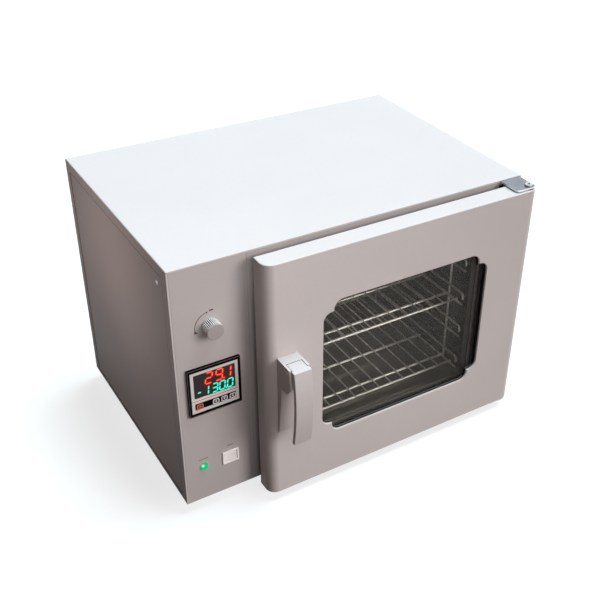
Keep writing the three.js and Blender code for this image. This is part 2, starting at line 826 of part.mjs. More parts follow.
// Insulation jacket round the liner
function makeInsulation() {
  const flangeBack = linerFront + linerSheet + seatGap;
  const [x0, x1] = [insulationLeft, chamberRight + linerSheet + insulationWall];
  const [z0, z1] = [traySheet + seatGap, chamberTop + linerSheet + insulationWall];
  const outer = block(x0, x1, flangeBack, chamberDepth + linerSheet + insulationWall, z0, z1);
  const grow = linerSheet + seatGap;
  const hollow = roundedOutline(ductLeft - grow, chamberRight + grow, chamberFloorZ - grow,
    chamberTop + grow, chamberCorner + grow);
  const slotWall = pocketWall + seatGap;
  const trayFront = returnDepth + seatGap + traySheet + seatGap;
  const holes = [
    facingPlate(hollow, flangeBack - overrun, chamberDepth + grow),
    bar(yAxis, exhaustRadius + seatGap, chamberDepth - overrun,
      chamberDepth + insulationWall + 2 * overrun, chamberCentreX, exhaustZ, 16),
    ...leftWallHoles(x0 - overrun, ductLeft, seatGap),
    ...bracketPosts().map(([y, z]) => bar(xAxis, bracketPost + seatGap, x0 - overrun, ductLeft, y, z, 12)),
    block(pocket.left - slotWall, pocket.right + slotWall, flangeBack - overrun,
      pocketDepth + slotWall, pocket.low - slotWall, pocket.high + slotWall),
    block(x0 - overrun, x1 + overrun, flangeBack - overrun, trayFront, z0 - overrun, trayEdge + seatGap),
  ];
  addPiece('insulation_jacket', cut(outer, holes), mineralWool);
}

// Perforated baffle between the chamber and the duct
function makeBaffle() {
  const [x0, x1] = [chamberLeft - baffleSheet, chamberLeft];
  const plate = block(x0, x1, linerFront + seatGap, chamberDepth - seatGap,
    chamberFloorZ + seatGap, chamberTop - seatGap);
  const holes = [bar(xAxis, inletHoleRadius, x0 - overrun, x1 + overrun, fanY, fanZ, holeSides)];
  for (const share of inletRingShares) {
    const count = holesInFirstRing * share;
    for (let i = 0; i < count; i += 1) {
      const angle = (2 * Math.PI * i) / count;
      holes.push(bar(xAxis, inletHoleRadius, x0 - overrun, x1 + overrun,
        fanY + share * inletRingPitch * Math.cos(angle), fanZ + share * inletRingPitch * Math.sin(angle),
        holeSides));
    }
  }
  const slotStack = (outletSlotCount - 1) * outletSlotPitch + outletSlotHeight;
  const lowSlot = (chamberFloorZ + chamberTop - slotStack) / 2;
  for (const y of [outletSlotInset, chamberDepth - outletSlotInset]) {
    for (let i = 0; i < outletSlotCount; i += 1) {
      const z = lowSlot + i * outletSlotPitch;
      holes.push(block(x0 - overrun, x1 + overrun, y - outletSlotWidth / 2, y + outletSlotWidth / 2,
        z, z + outletSlotHeight));
    }
  }
  holes.push(bar(xAxis, probeRadius + seatGap, x0 - overrun, x1 + overrun, probeY, probeZ, 12));
  addPiece('duct_baffle', cut(plate, holes), stainless);
}

// Fan wheel: a back plate, a hub, swept blades and a front ring
function makeFan() {
  const x1 = chamberLeft - baffleSheet - (ductDepth - baffleSheet - fanWidth) / 2;
  const x0 = x1 - fanWidth;
  const solids = [
    bar(xAxis, fanRadius, x0, x0 + fanPlate, fanY, fanZ, 28),
    bar(xAxis, hubRadius, x0, x0 + fanWidth / 2, fanY, fanZ, 16),
    bar(xAxis, fanRadius, x1 - fanPlate, x1, fanY, fanZ, 28)
      .subtract(bar(xAxis, fanRadius - fanRingWidth, x1 - overrun, x1 + overrun, fanY, fanZ, 28)),
  ];
  for (let i = 0; i < fanBladeCount; i += 1) {
    const turn = (2 * Math.PI * i) / fanBladeCount;
    const place = (radius, angle) => [fanY + radius * Math.cos(turn + angle),
      fanZ + radius * Math.sin(turn + angle)];
    const tip = fanRadius - fanPlate;
    const root = tip - fanBladeChord;
    const middle = (tip + root) / 2;
    const width = (radius) => fanBladeThickness / radius;
    const lean = (radius) => (fanBladeSweep * (tip - radius)) / tip;
    const blade = outlineOf([
      place(root, lean(root)), place(middle, lean(middle) * fanBladeBelly), place(tip, lean(tip)),
      place(tip, lean(tip) + width(tip)), place(middle, lean(middle) * fanBladeBelly + width(middle)),
      place(root, lean(root) + width(root)),
    ]);
    solids.push(sidePlate(blade, x0 + fanPlate / 2, x1 - fanPlate / 2));
  }
  const bore = bar(xAxis, shaftRadius + seatGap, x0 - overrun, x0 + fanWidth / 2 + overrun, fanY, fanZ, 12);
  addPiece('fan_wheel', join(solids).subtract(bore), stainless);
  const shaft = bar(xAxis, shaftRadius, motorFront - motorNeckLength - motorLength / 2,
    x0 + fanWidth / 2, fanY, fanZ, 12);
  addPiece('motor_shaft', shaft, zinc);
}

// Motor, open at its front end for the shaft, with cooling slots in its rear cover
function makeMotor() {
  const neckBack = motorFront - seatGap;
  const shoulder = neckBack - motorNeckLength;
  const rear = shoulder - motorLength;
  const body = join([
    bar(xAxis, motorRadius, rear, shoulder, fanY, fanZ, 28),
    bar(xAxis, motorNeckRadius, rear - motorNeckLength, neckBack, fanY, fanZ, 20),
  ]);
  const cutters = [
    bar(xAxis, shaftRadius + turnClearance, shoulder - motorLength / 2, neckBack + overrun, fanY, fanZ, 16),
  ];
  for (let i = 0; i < motorSlotCount; i += 1) {
    const angle = (2 * Math.PI * i) / motorSlotCount;
    const radius = motorRadius - overrun;
    cutters.push(bar(xAxis, overrun, rear - overrun, rear + 2 * overrun,
      fanY + radius * Math.cos(angle) - overrun * Math.cos(angle),
      fanZ + radius * Math.sin(angle) - overrun * Math.sin(angle), 6));
  }
  addPiece('fan_motor', cut(body, cutters), zinc);
  const half = bracketSize / 2;
  const [x0, x1] = [motorFront, motorFront + bracketSheet];
  const plate = roundedOutline(fanY - half, fanY + half, fanZ - half, fanZ + half, bracketPostInset);
  const bracket = join([
    sidePlate(plate, x0, x1),
    ...bracketPosts().map(([y, z]) =>
      bar(xAxis, bracketPost, x0 + bracketSheet / 2, wallLeft - seatGap, y, z, 12)),
  ]);
  const holes = leftWallHoles(x0 - overrun, x1 + overrun, seatGap);
  addPiece('motor_bracket', cut(bracket, holes), zinc);
}

// Sheathed heater: a ring round the fan wheel whose two legs leave through the left wall
function makeHeater() {
  const x = chamberLeft - baffleSheet - ductDepth / 2;
  const legEnd = motorFront - heaterTail;
  const [low, high] = heaterLegs;
  const sweep = 2 * Math.PI - heaterGapAngle;
  const bendShare = heaterBend / heaterRingRadius;
  const points = [];
  const ring = (angle, depth) => [depth, fanY + heaterRingRadius * Math.cos(angle),
    fanZ + heaterRingRadius * Math.sin(angle)];
  points.push([legEnd, low.y, low.z], [x - heaterBend, low.y, low.z]);
  const bendSteps = 4;
  for (let i = 1; i < bendSteps; i += 1) {
    const t = (i / bendSteps) * (Math.PI / 2);
    points.push(ring(low.angle - bendShare * (1 - Math.cos(t)), x - heaterBend * (1 - Math.sin(t))));
  }
  for (let i = 0; i <= heaterSteps; i += 1) {
    const angle = low.angle - bendShare - ((sweep - 2 * bendShare) * i) / heaterSteps;
    points.push(ring(angle, x));
  }
  for (let i = bendSteps - 1; i > 0; i -= 1) {
    const t = (i / bendSteps) * (Math.PI / 2);
    points.push(ring(low.angle - sweep + bendShare * (1 - Math.cos(t)),
      x - heaterBend * (1 - Math.sin(t))));
  }
  points.push([x - heaterBend, high.y, high.z], [legEnd, high.y, high.z]);
  addPiece('heater_element', wire(points, heaterTube, heaterSides), zinc);
}

// Temperature probe through the left wall, the duct and the baffle
function makeProbe() {
  const rod = bar(xAxis, probeRadius, insulationLeft - probeTail, chamberLeft + probeReach, probeY,
    probeZ, 12);
  const nut = bar(xAxis, 2 * probeRadius, insulationLeft - probeTail / 2, insulationLeft - seatGap,
    probeY, probeZ, 6);
  addPiece('temperature_probe', rod.add(nut), stainless);
}

// Exhaust pipe from the chamber's back wall, and the slotted cap outside
function makeExhaust() {
  const [y0, y1] = [chamberDepth, cabinetDepth];
  const pipe = bar(yAxis, exhaustRadius, y0, y1, chamberCentreX, exhaustZ, 16)
    .subtract(bar(yAxis, exhaustRadius - exhaustWall, y0 - overrun, y1 + overrun, chamberCentreX,
      exhaustZ, 16));
  addPiece('exhaust_pipe', pipe, stainless);
  const capFront = cabinetDepth + seatGap;
  const cap = bar(yAxis, ventRadius, capFront, capFront + ventThickness, chamberCentreX, exhaustZ, 24);
  const slots = [];
  for (let i = 0; i < ventSlotCount; i += 1) {
    const z = exhaustZ + (i - (ventSlotCount - 1) / 2) * ventSlotPitch;
    const half = Math.sqrt(exhaustRadius ** 2 - (z - exhaustZ) ** 2) - exhaustWall;
    slots.push(block(chamberCentreX - half, chamberCentreX + half, capFront - overrun,
      capFront + ventThickness + overrun, z - ventSlotWidth / 2, z + ventSlotWidth / 2));
  }
  addPiece('exhaust_cap', cut(cap, slots), blackPlastic);
}

// One wire shelf: cross rails under wires that run front to back
function makeShelf(name, z) {
  const solids = shelfRailShares.map((share) => bar(xAxis, shelfRailRadius,
    chamberCentreX - shelfRailHalf, chamberCentreX + shelfRailHalf, shelfFrontY + share * shelfDepth, z,
      railSides));
  const wireZ = z + shelfRailRadius + shelfWireRadius - shelfSink;
  for (let i = 0; i < shelfWireCount; i += 1) {
    const x = chamberCentreX + (i - (shelfWireCount - 1) / 2) * shelfWirePitch;
    solids.push(bar(yAxis, shelfWireRadius, shelfFrontY - shelfWireOverhang,
      shelfFrontY + shelfDepth + shelfWireOverhang, x, wireZ, wireSides));
  }
  addPiece(name, join(solids), wireSteel);
}

// One side rack: two posts with studs, and a bent runner for each shelf level
function makeRack(name, x, wallX, side) {
  const backY = chamberDepth - rackBackGap;
  const postX = x + side * (2 * rackWireRadius - rackSink);
  const postPlaces = [rackPostInset, chamberDepth - rackPostInset];
  const solids = postPlaces.map((y) => bar(zAxis, rackWireRadius,
    lowShelfZ - rackLift(), rackPostTop, postX, y, wireSides));
  for (let level = 0; level < rackLevels; level += 1) {
    const low = lowShelfZ + level * shelfLevelPitch - rackLift();
    const high = lowShelfZ + level * shelfLevelPitch + rackRise;
    const curlZ = high - rackCurl;
    const runner = [
      [x, rackFrontY, low], [x, backY - rackCurl, low],
      ...arcInSide(x, backY - rackCurl, low + rackCurl, rackCurl, -Math.PI / 4, 0, 1),
      ...arcInSide(x, backY - rackCurl, curlZ, rackCurl, 0, Math.PI / 4, 1),
      [x, backY - rackCurl, high],
      ...arcInSide(x, rackFrontY + rackCurl, curlZ, rackCurl, Math.PI / 2, Math.PI, 3),
      [x, rackFrontY, curlZ - rackCurlDrop],
    ];
    solids.push(wire(runner, rackWireRadius));
  }
  for (const level of rackStudLevels) {
    const z = lowShelfZ + level * shelfLevelPitch + rackRise / 2;
    for (const y of postPlaces) {
      const [x0, x1] = [postX, wallX - side * seatGap].sort((a, b) => a - b);
      solids.push(bar(xAxis, rackStudRadius, x0, x1, y, z, 8));
    }
  }
  addPiece(name, join(solids), wireSteel);
}

// How far a runner's lower wire lies below the rail that it carries
function rackLift() {
  return shelfRailRadius + seatGap + rackWireRadius;
}

// A ring of sheet or gasket between two outlines, from y0 back to y1
function ringPlate(outer, inner, y0, y1) {
  return facingPlate(outer, y0, y1).subtract(facingPlate(inner, y0 - overrun, y1 + overrun));
}

// The tongue's slot through a layer of the door, from y0 back to y1
function tongueSlot(y0, y1) {
  return block(pocket.left, pocket.right, y0 - overrun, y1 + overrun, pocket.low, pocket.high);
}

// Door skin: a folded pan with round side edges and a stepped window whose edge turns in
function makeDoorSkin() {
  const plan = (grow, back) => {
    const [x0, x1, y0] = [doorLeft + grow, doorRight - grow, doorFront + grow];
    const r = doorEdgeRadius - grow;
    const shape = new THREE.Shape();
    shape.moveTo(x0 + r, y0);
    shape.lineTo(x1 - r, y0);
    shape.absarc(x1 - r, y0 + r, r, -Math.PI / 2, 0);
    shape.lineTo(x1, back);
    shape.lineTo(x0, back);
    shape.lineTo(x0, y0 + r);
    shape.absarc(x0 + r, y0 + r, r, Math.PI, 1.5 * Math.PI);
    return shape;
  };
  const pan = levelPlate(plan(0, doorBack), doorBottom, doorTop)
    .subtract(levelPlate(plan(doorSheet, doorBack + overrun), doorBottom + doorSheet, doorTop - doorSheet));
  const lip = facingPlate(windowOutline(doorSheet), doorFront + doorSheet / 2, doorFront + windowLip);
  const holes = [
    facingPlate(windowOutline(0), doorFront - overrun, doorFront + windowLip + overrun),
    tongueSlot(doorFront, doorInside),
    bar(zAxis, bushRadius + seatGap, doorTop - overrun, doorTop + overrun, pivotX, pivotY, 20),
    bar(zAxis, bushRadius + seatGap, doorBottom - overrun, doorBottom + overrun, pivotX, pivotY, 20),
  ];
  addPiece('door_skin', cut(pan.add(lip), holes), paint);
}

const stackLeft = windowLeft - paneMarginX;
const stackRight = windowRight + paneMarginX;
const stackLow = windowLow - paneMarginZ;
const stackHigh = windowHigh + paneMarginZ;

// The outline shared by the panes and what holds them
function stackOutline(grow) {
  return roundedOutline(stackLeft - grow, stackRight + grow, stackLow - grow, stackHigh + grow,
    frameCorner + grow);
}

// The opening in the door's inner panel
function innerOpening() {
  return roundedOutline(stackLeft + innerOpeningMargin, stackRight - innerOpeningMargin,
    stackLow + innerOpeningMargin, stackHigh - innerOpeningMargin, frameCorner);
}

// Gasket, two panes and the flared frame between them
function makeGlazing() {
  addPiece('window_gasket', ringPlate(stackOutline(0), windowOutline(-gasketShow),
    gasketFront, gasketFront + gasketThickness), blackRubber);
  addPiece('outer_glass', facingPlate(stackOutline(0), outerPaneFront, outerPaneFront + paneThickness),
    clearGlass);
  const wide = innerOpening().getPoints(arcSteps);
  const centre = [windowCentreX, windowCentreZ];
  const share = [
    (windowWidth + doorSheet) / (stackRight - stackLeft - 2 * innerOpeningMargin),
    (windowHeight + doorSheet) / (stackHigh - stackLow - 2 * innerOpeningMargin),
  ];
  const narrow = wide.map((point) => new THREE.Vector2(
    centre[0] + (point.x - centre[0]) * Math.min(share[0], 1),
    centre[1] + (point.y - centre[1]) * Math.min(share[1], 1)));
  const [y0, y1] = [glassFrameFront, glassFrameBack];
  const funnel = loft(narrow.slice(0, -1), y0 - seatGap / 2, wide.slice(0, -1), y1 + seatGap / 2);
  addPiece('glass_frame', facingPlate(stackOutline(0), y0, y1).subtract(funnel), zinc);
  addPiece('inner_glass', facingPlate(stackOutline(0), innerPaneFront, innerPaneFront + paneThickness),
    clearGlass);
}

// Door inner panel, its insulation and the seal that meets the front frame
function makeDoorInside() {
  const grow = doorSheet + seatGap;
  const panel = block(doorLeft + grow, doorRight - grow, panelFront, doorBack,
    doorBottom + grow, doorTop - grow);
  addPiece('door_inner_panel', cut(panel, [
    facingPlate(innerOpening(), panelFront - overrun, doorBack + overrun),
    tongueSlot(panelFront, doorBack),
  ]), paint);
  const edge = doorEdgeRadius + insulationEdge;
  const wool = block(doorLeft + edge, doorRight - insulationSide, doorInside + seatGap,
    panelFront - seatGap,
    doorBottom + grow, doorTop - grow);
  addPiece('door_insulation', cut(wool, [
    facingPlate(stackOutline(seatGap), doorInside - overrun, doorBack),
    tongueSlot(doorInside, doorBack),
    facingPlate(windowOutline(doorSheet + seatGap), doorInside - overrun, doorBack),
  ]), mineralWool);
  const [x0, x1] = [chamberLeft - sealMargin, chamberRight + sealMargin];
  const [z0, z1] = [chamberFloorZ - sealMargin, chamberTop + sealMargin];
  const [front, back] = [doorBack + seatGap, -seatGap];
  const ring = (grow, shrink, y0, y1) => ringPlate(
    roundedOutline(x0 - sealWidth + grow, x1 + sealWidth - grow, z0 - sealWidth + grow,
      z1 + sealWidth - grow,
      sealCorner - grow),
    roundedOutline(x0 - shrink, x1 + shrink, z0 - shrink, z1 + shrink, sealCorner - sealWidth + shrink),
      y0, y1);
  const seal = ring(0, 0, front, back - sealRound).add(ring(sealRound, sealRound, front + sealRound, back));
  addPiece('door_seal', seal, silicone);
}

// One hinge: a cranked leaf on the front frame, its pivot bolt and the door's bush; up is 1 or -1
function makeHinge(name, doorEdge, legEnd, up) {
  const flangeZ = doorEdge + up * seatGap;
  const leafZ = flangeZ + up * (bushFlange + seatGap);
  const span = (a, b) => [Math.min(a, b), Math.max(a, b)];
  const [x0, x1, y0] = [pivotX - hingeLeafReach, pivotX + hingeLeafPast, pivotY - hingeLeafNose];
  const notchY = (y0 - seatGap) / 2;
  const leaf = new THREE.Shape();
  leaf.moveTo(x0 + hingeCorner, y0);
  leaf.lineTo(x1 - hingeCorner, y0);
  leaf.absarc(x1 - hingeCorner, y0 + hingeCorner, hingeCorner, -Math.PI / 2, 0);
  leaf.lineTo(x1, notchY - hingeNotch / 2);
  leaf.lineTo(x1 - hingeNotch, notchY);
  leaf.lineTo(x1, notchY + hingeNotch / 2);
  leaf.lineTo(x1, -seatGap);
  leaf.lineTo(x0, -seatGap);
  leaf.lineTo(x0, y0 + hingeCorner);
  leaf.absarc(x0 + hingeCorner, y0 + hingeCorner, hingeCorner, Math.PI, 1.5 * Math.PI);
  const level = levelPlate(leaf, ...span(leafZ, leafZ + up * hingeSheet));
  const leg = block(x0, x1, -seatGap - hingeSheet, -seatGap, ...span(leafZ + up * hingeSheet / 2, legEnd));
  const hole = bar(zAxis, boltRadius + seatGap,
    ...span(leafZ - up * overrun, leafZ + up * (hingeSheet + overrun)),
    pivotX, pivotY, 16);
  addPiece(`${name}_hinge_plate`, level.add(leg).subtract(hole), zinc);
  const headZ = leafZ + up * (hingeSheet + seatGap);
  const head = turnedAlongZ([
    [0, headZ], [boltHeadRadius, headZ], [boltHeadRadius, headZ + up * boltHeadHeight / 2],
    [boltHeadRadius - boltHeadHeight / 2, headZ + up * boltHeadHeight], [0, headZ + up * boltHeadHeight],
  ], pivotX, pivotY, 16);
  const shank = bar(zAxis, boltRadius, ...span(headZ + up * seatGap, doorEdge - up * boltReach), pivotX,
    pivotY, 12);
  addPiece(`${name}_pivot_bolt`, head.add(shank), zinc);
  const bush = join([
    bar(zAxis, bushRadius, ...span(doorEdge - up * (boltReach + overrun), flangeZ + up * bushFlange / 2),
      pivotX, pivotY, 16),
    bar(zAxis, bushFlangeRadius, ...span(flangeZ, flangeZ + up * bushFlange), pivotX, pivotY, 16),
  ]);
  const bore = bar(zAxis, boltRadius + turnClearance,
    ...span(doorEdge - up * (boltReach + turnClearance), flangeZ + up * overrun), pivotX, pivotY, 12);
  addPiece(`${name}_hinge_bush`, bush.subtract(bore), brass);
}

// Handle block: a solid back, two cheeks and a tapering plate below
function makeHandleBlock() {
  const [x0, x1] = [handleLeft, handleLeft + handleWidth];
  const blockFront = doorFront - handleBlockDepth;
  const notchZ = handleTop - cheekNotchDrop;
  const profile = outlineOf([
    [handleBack, handleTop], [handleBack, handleBottom], [doorFront - plateBottomReach, handleBottom],
    [doorFront - plateTopReach, handleTop - plateTopDrop], [doorFront - plateTopReach, notchZ],
    [doorFront - cheekNotchReach, notchZ], [doorFront - cheekReachLow, handleTop - cheekLowDrop],
    [doorFront - cheekReachTop, handleTop],
  ]);
  const [slotLeft, slotRight] = [x0 + cheekThickness, x1 - cheekThickness];
  const slotFront = doorFront - cheekReachLow - overrun;
  const holes = [
    block(slotLeft, slotRight, slotFront, blockFront, notchZ - overrun, leverPinZ),
    block(slotLeft, slotRight, slotFront, leverPinY, notchZ - overrun, handleTop + overrun),
    bar(xAxis, blockFront - leverPinY, slotLeft, slotRight, leverPinY, leverPinZ, 40),
    block(pocket.left, pocket.right, blockFront - overrun, doorFront + overrun,
      tongueDrop(doorFront), pocket.high),
    bar(xAxis, leverPinRadius + seatGap, x0 - overrun, x1 + overrun, leverPinY, leverPinZ, 12),
  ];
  addPiece('handle_block', cut(sidePlate(profile, x0, x1), holes), paint);
  addPiece('lever_pin', bar(xAxis, leverPinRadius, x0 + seatGap, x1 - seatGap, leverPinY, leverPinZ, 12),
    zinc);
}

// The lowest place that the tongue reaches at a depth, with a running gap
function tongueDrop(y) {
  const angle = THREE.MathUtils.degToRad(leverAngle);
  const [run, drop] = [y - leverPinY, tongueZ - tongueHeight / 2 - leverPinZ];
  return leverPinZ + drop / Math.cos(angle) - run * Math.tan(angle) - 2 * seatGap;
}

// Pull lever: a bowed grip, a head between the cheeks and a tongue that reaches through the door
function makeLever() {
  const centreX = handleLeft + handleWidth / 2;
  const topZ = leverPinZ + leverBossRadius;
  const footZ = handleBottom + leverFootRise;
  const middleZ = (topZ + footZ) / 2;
  const front = bow([doorFront - leverTopReach, topZ], [doorFront - leverBow, middleZ],
    [doorFront - leverBottomReach, footZ], leverSteps);
  const back = bow([doorFront - leverTopReach + leverTopThickness, topZ],
    [doorFront - leverBow + leverThickness, middleZ],
    [doorFront - leverBottomReach + leverThickness, footZ], leverSteps);
  const grip = sidePlate(outlineOf([...front, ...back.reverse()]), centreX - leverWidth / 2,
    centreX + leverWidth / 2);
  const headHalf = handleWidth / 2 - cheekThickness - 2 * seatGap;
  const roofRadius = doorFront - handleBlockDepth - leverPinY - 2 * seatGap;
  const roofReach = Math.sqrt(roofRadius * roofRadius - leverBossRadius * leverBossRadius);
  const head = join([
    block(centreX - headHalf, centreX + headHalf, doorFront - leverTopReach + leverGap, leverPinY,
      leverPinZ - leverBossRadius, topZ),
    block(centreX - headHalf, centreX + headHalf, leverPinY, leverPinY + roofReach,
      topZ - leverRoofThickness, topZ),
    bar(xAxis, leverBossRadius, centreX - headHalf, centreX + headHalf, leverPinY, leverPinZ, 20),
  ]);
  const [low, high] = [tongueZ - tongueHeight / 2, tongueZ + tongueHeight / 2];
  const kneeY = doorFront - handleBlockDepth;
  const tongue = outlineOf([
    [leverPinY - leverBossRadius / 2, leverPinZ - leverBossRadius / 2],
    [leverPinY - leverBossRadius / 2, low + tongueHeight / 2], [kneeY, low], [tongueReach, low],
    [tongueReach, high], [tongueReach - tongueNoseLength / 2, high + tongueNose],
    [tongueReach - tongueNoseLength, high + tongueNose], [tongueReach - tongueNoseLength, high],
    [kneeY + tongueHeight / 2, high], [leverPinY + leverBossRadius / 2, leverPinZ - leverBossRadius / 2],
  ]);
  const pinHole = bar(xAxis, leverPinRadius + seatGap, handleLeft, handleLeft + handleWidth,
    leverPinY, leverPinZ, 12);
  const tonguePlate = sidePlate(tongue, tongueX - tongueThickness / 2, tongueX + tongueThickness / 2);
  addPiece('pull_lever', join([grip, head, tonguePlate]).subtract(pinHole), paint);
}

// Strike on the front frame with a pocket behind its slot
function makeStrike() {
  const plate = block(pocket.left - strikeMargin, pocket.right + strikeMargin, -seatGap - strikeSheet,
    -seatGap,
    pocket.low - strikeMargin, pocket.high + strikeMargin);
  const cup = block(pocket.left - pocketWall, pocket.right + pocketWall, -seatGap - strikeSheet / 2,
    pocketDepth, pocket.low - pocketWall, pocket.high + pocketWall);
  const hollow = block(pocket.left, pocket.right, -overrun, pocketDepth - pocketWall, pocket.low,
    pocket.high);
  addPiece('strike_pocket', plate.add(cup).subtract(hollow), zinc);
}

// Knob with ribbed sides, its spindle and the speed control behind the panel
function makeKnob() {
  const [face, back] = [-knobLength, -seatGap];
  const ribbed = [];
  for (let i = 0; i < 2 * knobRibs; i += 1) {
    const angle = (Math.PI * (i + 0.5)) / knobRibs;
    const radius = i % 2 ? knobRootRadius : knobRadius - knobChamfer / 2;
    ribbed.push([knobX + radius * Math.cos(angle), knobZ + radius * Math.sin(angle)]);
  }
  const rim = turnedAlongY([
    [0, face], [knobRadius - knobChamfer, face], [knobRadius, face + knobChamfer],
    [knobRadius, face + knobRim], [0, face + knobRim],
  ], knobX, knobZ, 24);
  const grip = facingPlate(outlineOf(ribbed), face + knobRim / 2, back);
  const hole = bar(yAxis, spindleRadius + seatGap, back - spindleDepth, back + overrun, knobX, knobZ, 12);
  addPiece('speed_knob', join([rim, grip]).subtract(hole), greyPlastic);
  addPiece('knob_spindle', bar(yAxis, spindleRadius, back - spindleDepth + seatGap, speedBodyDepth / 2,
    knobX, knobZ, 12), brass);
  const bodyFront = faceSheet + seatGap;
  const body = join([
    bar(yAxis, speedBodyRadius, bodyFront, bodyFront + speedBodyDepth, knobX, knobZ, 20),
    bar(yAxis, bushingRadius, 0, bodyFront + seatGap, knobX, knobZ, 12),
  ]);
  const bore = bar(yAxis, spindleRadius + turnClearance, -overrun, speedBodyDepth / 2 + seatGap, knobX,
    knobZ, 16);
  addPiece('speed_control', body.subtract(bore), zinc);
}

// Controller: case with a bezel, a light face plate, a dark display window and four keys
function makeController() {
  const [cx, cz] = [controllerCentreX, controllerCentreZ];
  const front = -seatGap - bezelDepth;
  const floor = front + recessDepth;
  const half = bezelSize / 2;
  const square = (grow) => [
    [cx - half + grow, cz - half + grow], [cx + half - grow, cz - half + grow],
    [cx + half - grow, cz + half - grow], [cx - half + grow, cz + half - grow],
  ].map(([x, z]) => new THREE.Vector2(x, z));
  const bezel = loft(square(bezelBevel), front, square(0), front + bezelBevel)
    .add(block(cx - half, cx + half, front + bezelBevel, -seatGap, cz - half, cz + half));
  const rear = caseSize / 2;
  const caseBody = block(cx - rear, cx + rear, -seatGap - bezelDepth / 2, caseDepth, cz - rear, cz + rear);
  const recess = block(cx - recessWidth / 2, cx + recessWidth / 2, front - overrun, floor,
    cz - recessHeight / 2, cz + recessHeight / 2);
  const stemHoles = keyPlaces.map((x) => bar(yAxis, keyStemRadius + seatGap, floor - overrun,
    floor + keyStemLength + keyTravel, x, keyZ, 12));
  addPiece('controller_case', cut(bezel.add(caseBody), [recess, ...stemHoles]), blackPlastic);

  const faceFront = front + faceInset;
  const faceBack = floor - seatGap;
  const plate = block(cx - recessWidth / 2 + seatGap, cx + recessWidth / 2 - seatGap, faceFront, faceBack,
    cz - recessHeight / 2 + seatGap, cz + recessHeight / 2 - seatGap);
  const openings = [[displayLow, displayTop], [keyBandLow, keyBandTop]].map(([z0, z1]) => facingPlate(
    roundedOutline(cx - displayWidth / 2, cx + displayWidth / 2, z0, z1, faceCorner),
    faceFront - overrun, faceBack + overrun));
  addPiece('controller_face', cut(plate, openings), greyPlastic);
  addPiece('display_window', facingPlate(roundedOutline(
    cx - displayWidth / 2 + seatGap, cx + displayWidth / 2 - seatGap,
    displayLow + seatGap, displayTop - seatGap, faceCorner),
  faceFront + seatGap, faceBack), darkLens);

  keyPlaces.forEach((x, i) => {
    const cap = facingPlate(roundedOutline(x - keySize / 2, x + keySize / 2, keyZ - keyHeight / 2,
      keyZ + keyHeight / 2, keyCorner), faceFront - keyRise, floor - keyTravel - seatGap);
    const stem = bar(yAxis, keyStemRadius, faceFront, floor + keyStemLength - seatGap, x, keyZ, 12);
    addPiece(`controller_key_${i + 1}`, cap.add(stem), greyPlastic);
  });
}

// Rocker switch: a housing with tabs behind, and a rocker whose right end stands proud
function makeSwitch() {
  const back = -seatGap;
  const flange = block(switchX - switchHalfWidth, switchX + switchHalfWidth, back - switchFlange, back,
    switchZ - switchHalfHeight, switchZ + switchHalfHeight);
  const [w, h] = [switchBodyHalfWidth, switchBodyHalfHeight];
  const cup = block(switchX - w, switchX + w, back - switchFlange / 2, switchDepth, switchZ - h,
    switchZ + h);
  const hollow = block(switchX - w + switchWall, switchX + w - switchWall, back - switchFlange - overrun,
    switchDepth - 2 * overrun, switchZ - h + switchWall, switchZ + h - switchWall);
  const tabs = [-1, 0, 1].map((i) => {
    const x = switchX + i * switchTabPitch;
    return block(x - switchTabThickness / 2, x + switchTabThickness / 2, switchDepth - switchWall,
      switchDepth + switchTabLength, switchZ - switchTabWidth / 2, switchZ + switchTabWidth / 2);
  });
  addPiece('switch_housing', join([flange, cup, ...tabs]).subtract(hollow), whitePlastic);

  const tilt = -THREE.MathUtils.degToRad(rockerTilt);
  const turned = ([x, y]) => [
    switchX + x * Math.cos(tilt) - y * Math.sin(tilt),
    switchPivotDepth + x * Math.sin(tilt) + y * Math.cos(tilt),
  ];
  const profile = outlineOf([
    [-rockerHalf, -rockerRise], [0, -rockerDip], [rockerHalf, -rockerRise], [rockerHalf, -rockerShoulder],
    [rockerFoot, rockerFoot], [-rockerFoot, rockerFoot], [-rockerHalf, -rockerShoulder],
  ].map(turned));
  addPiece('switch_rocker', levelPlate(profile, switchZ - rockerHalfHeight, switchZ + rockerHalfHeight),
    whitePlastic);
}

// Pilot lamp: a domed lens and a body held by a nut behind the panel
function makeLamp() {
  const dome = [[0, -seatGap - lampDomeHeight]];
  for (let i = 1; i <= lampDomeSteps; i += 1) {
    const angle = (i / lampDomeSteps) * (Math.PI / 2);
    dome.push([lampDomeRadius * Math.sin(angle), -seatGap - lampDomeHeight * Math.cos(angle)]);
  }
  dome.push([0, -seatGap]);
  addPiece('lamp_lens', turnedAlongY(dome, lampX, lampZ, 20), greenLens);
  const nutFront = faceSheet + seatGap;
  addPiece('lamp_body', join([
    bar(yAxis, lampBodyRadius, 0, lampBodyDepth, lampX, lampZ, 16),
    bar(yAxis, lampNutRadius, nutFront, nutFront + lampNutDepth, lampX, lampZ, 6),
  ]), blackPlastic);
}

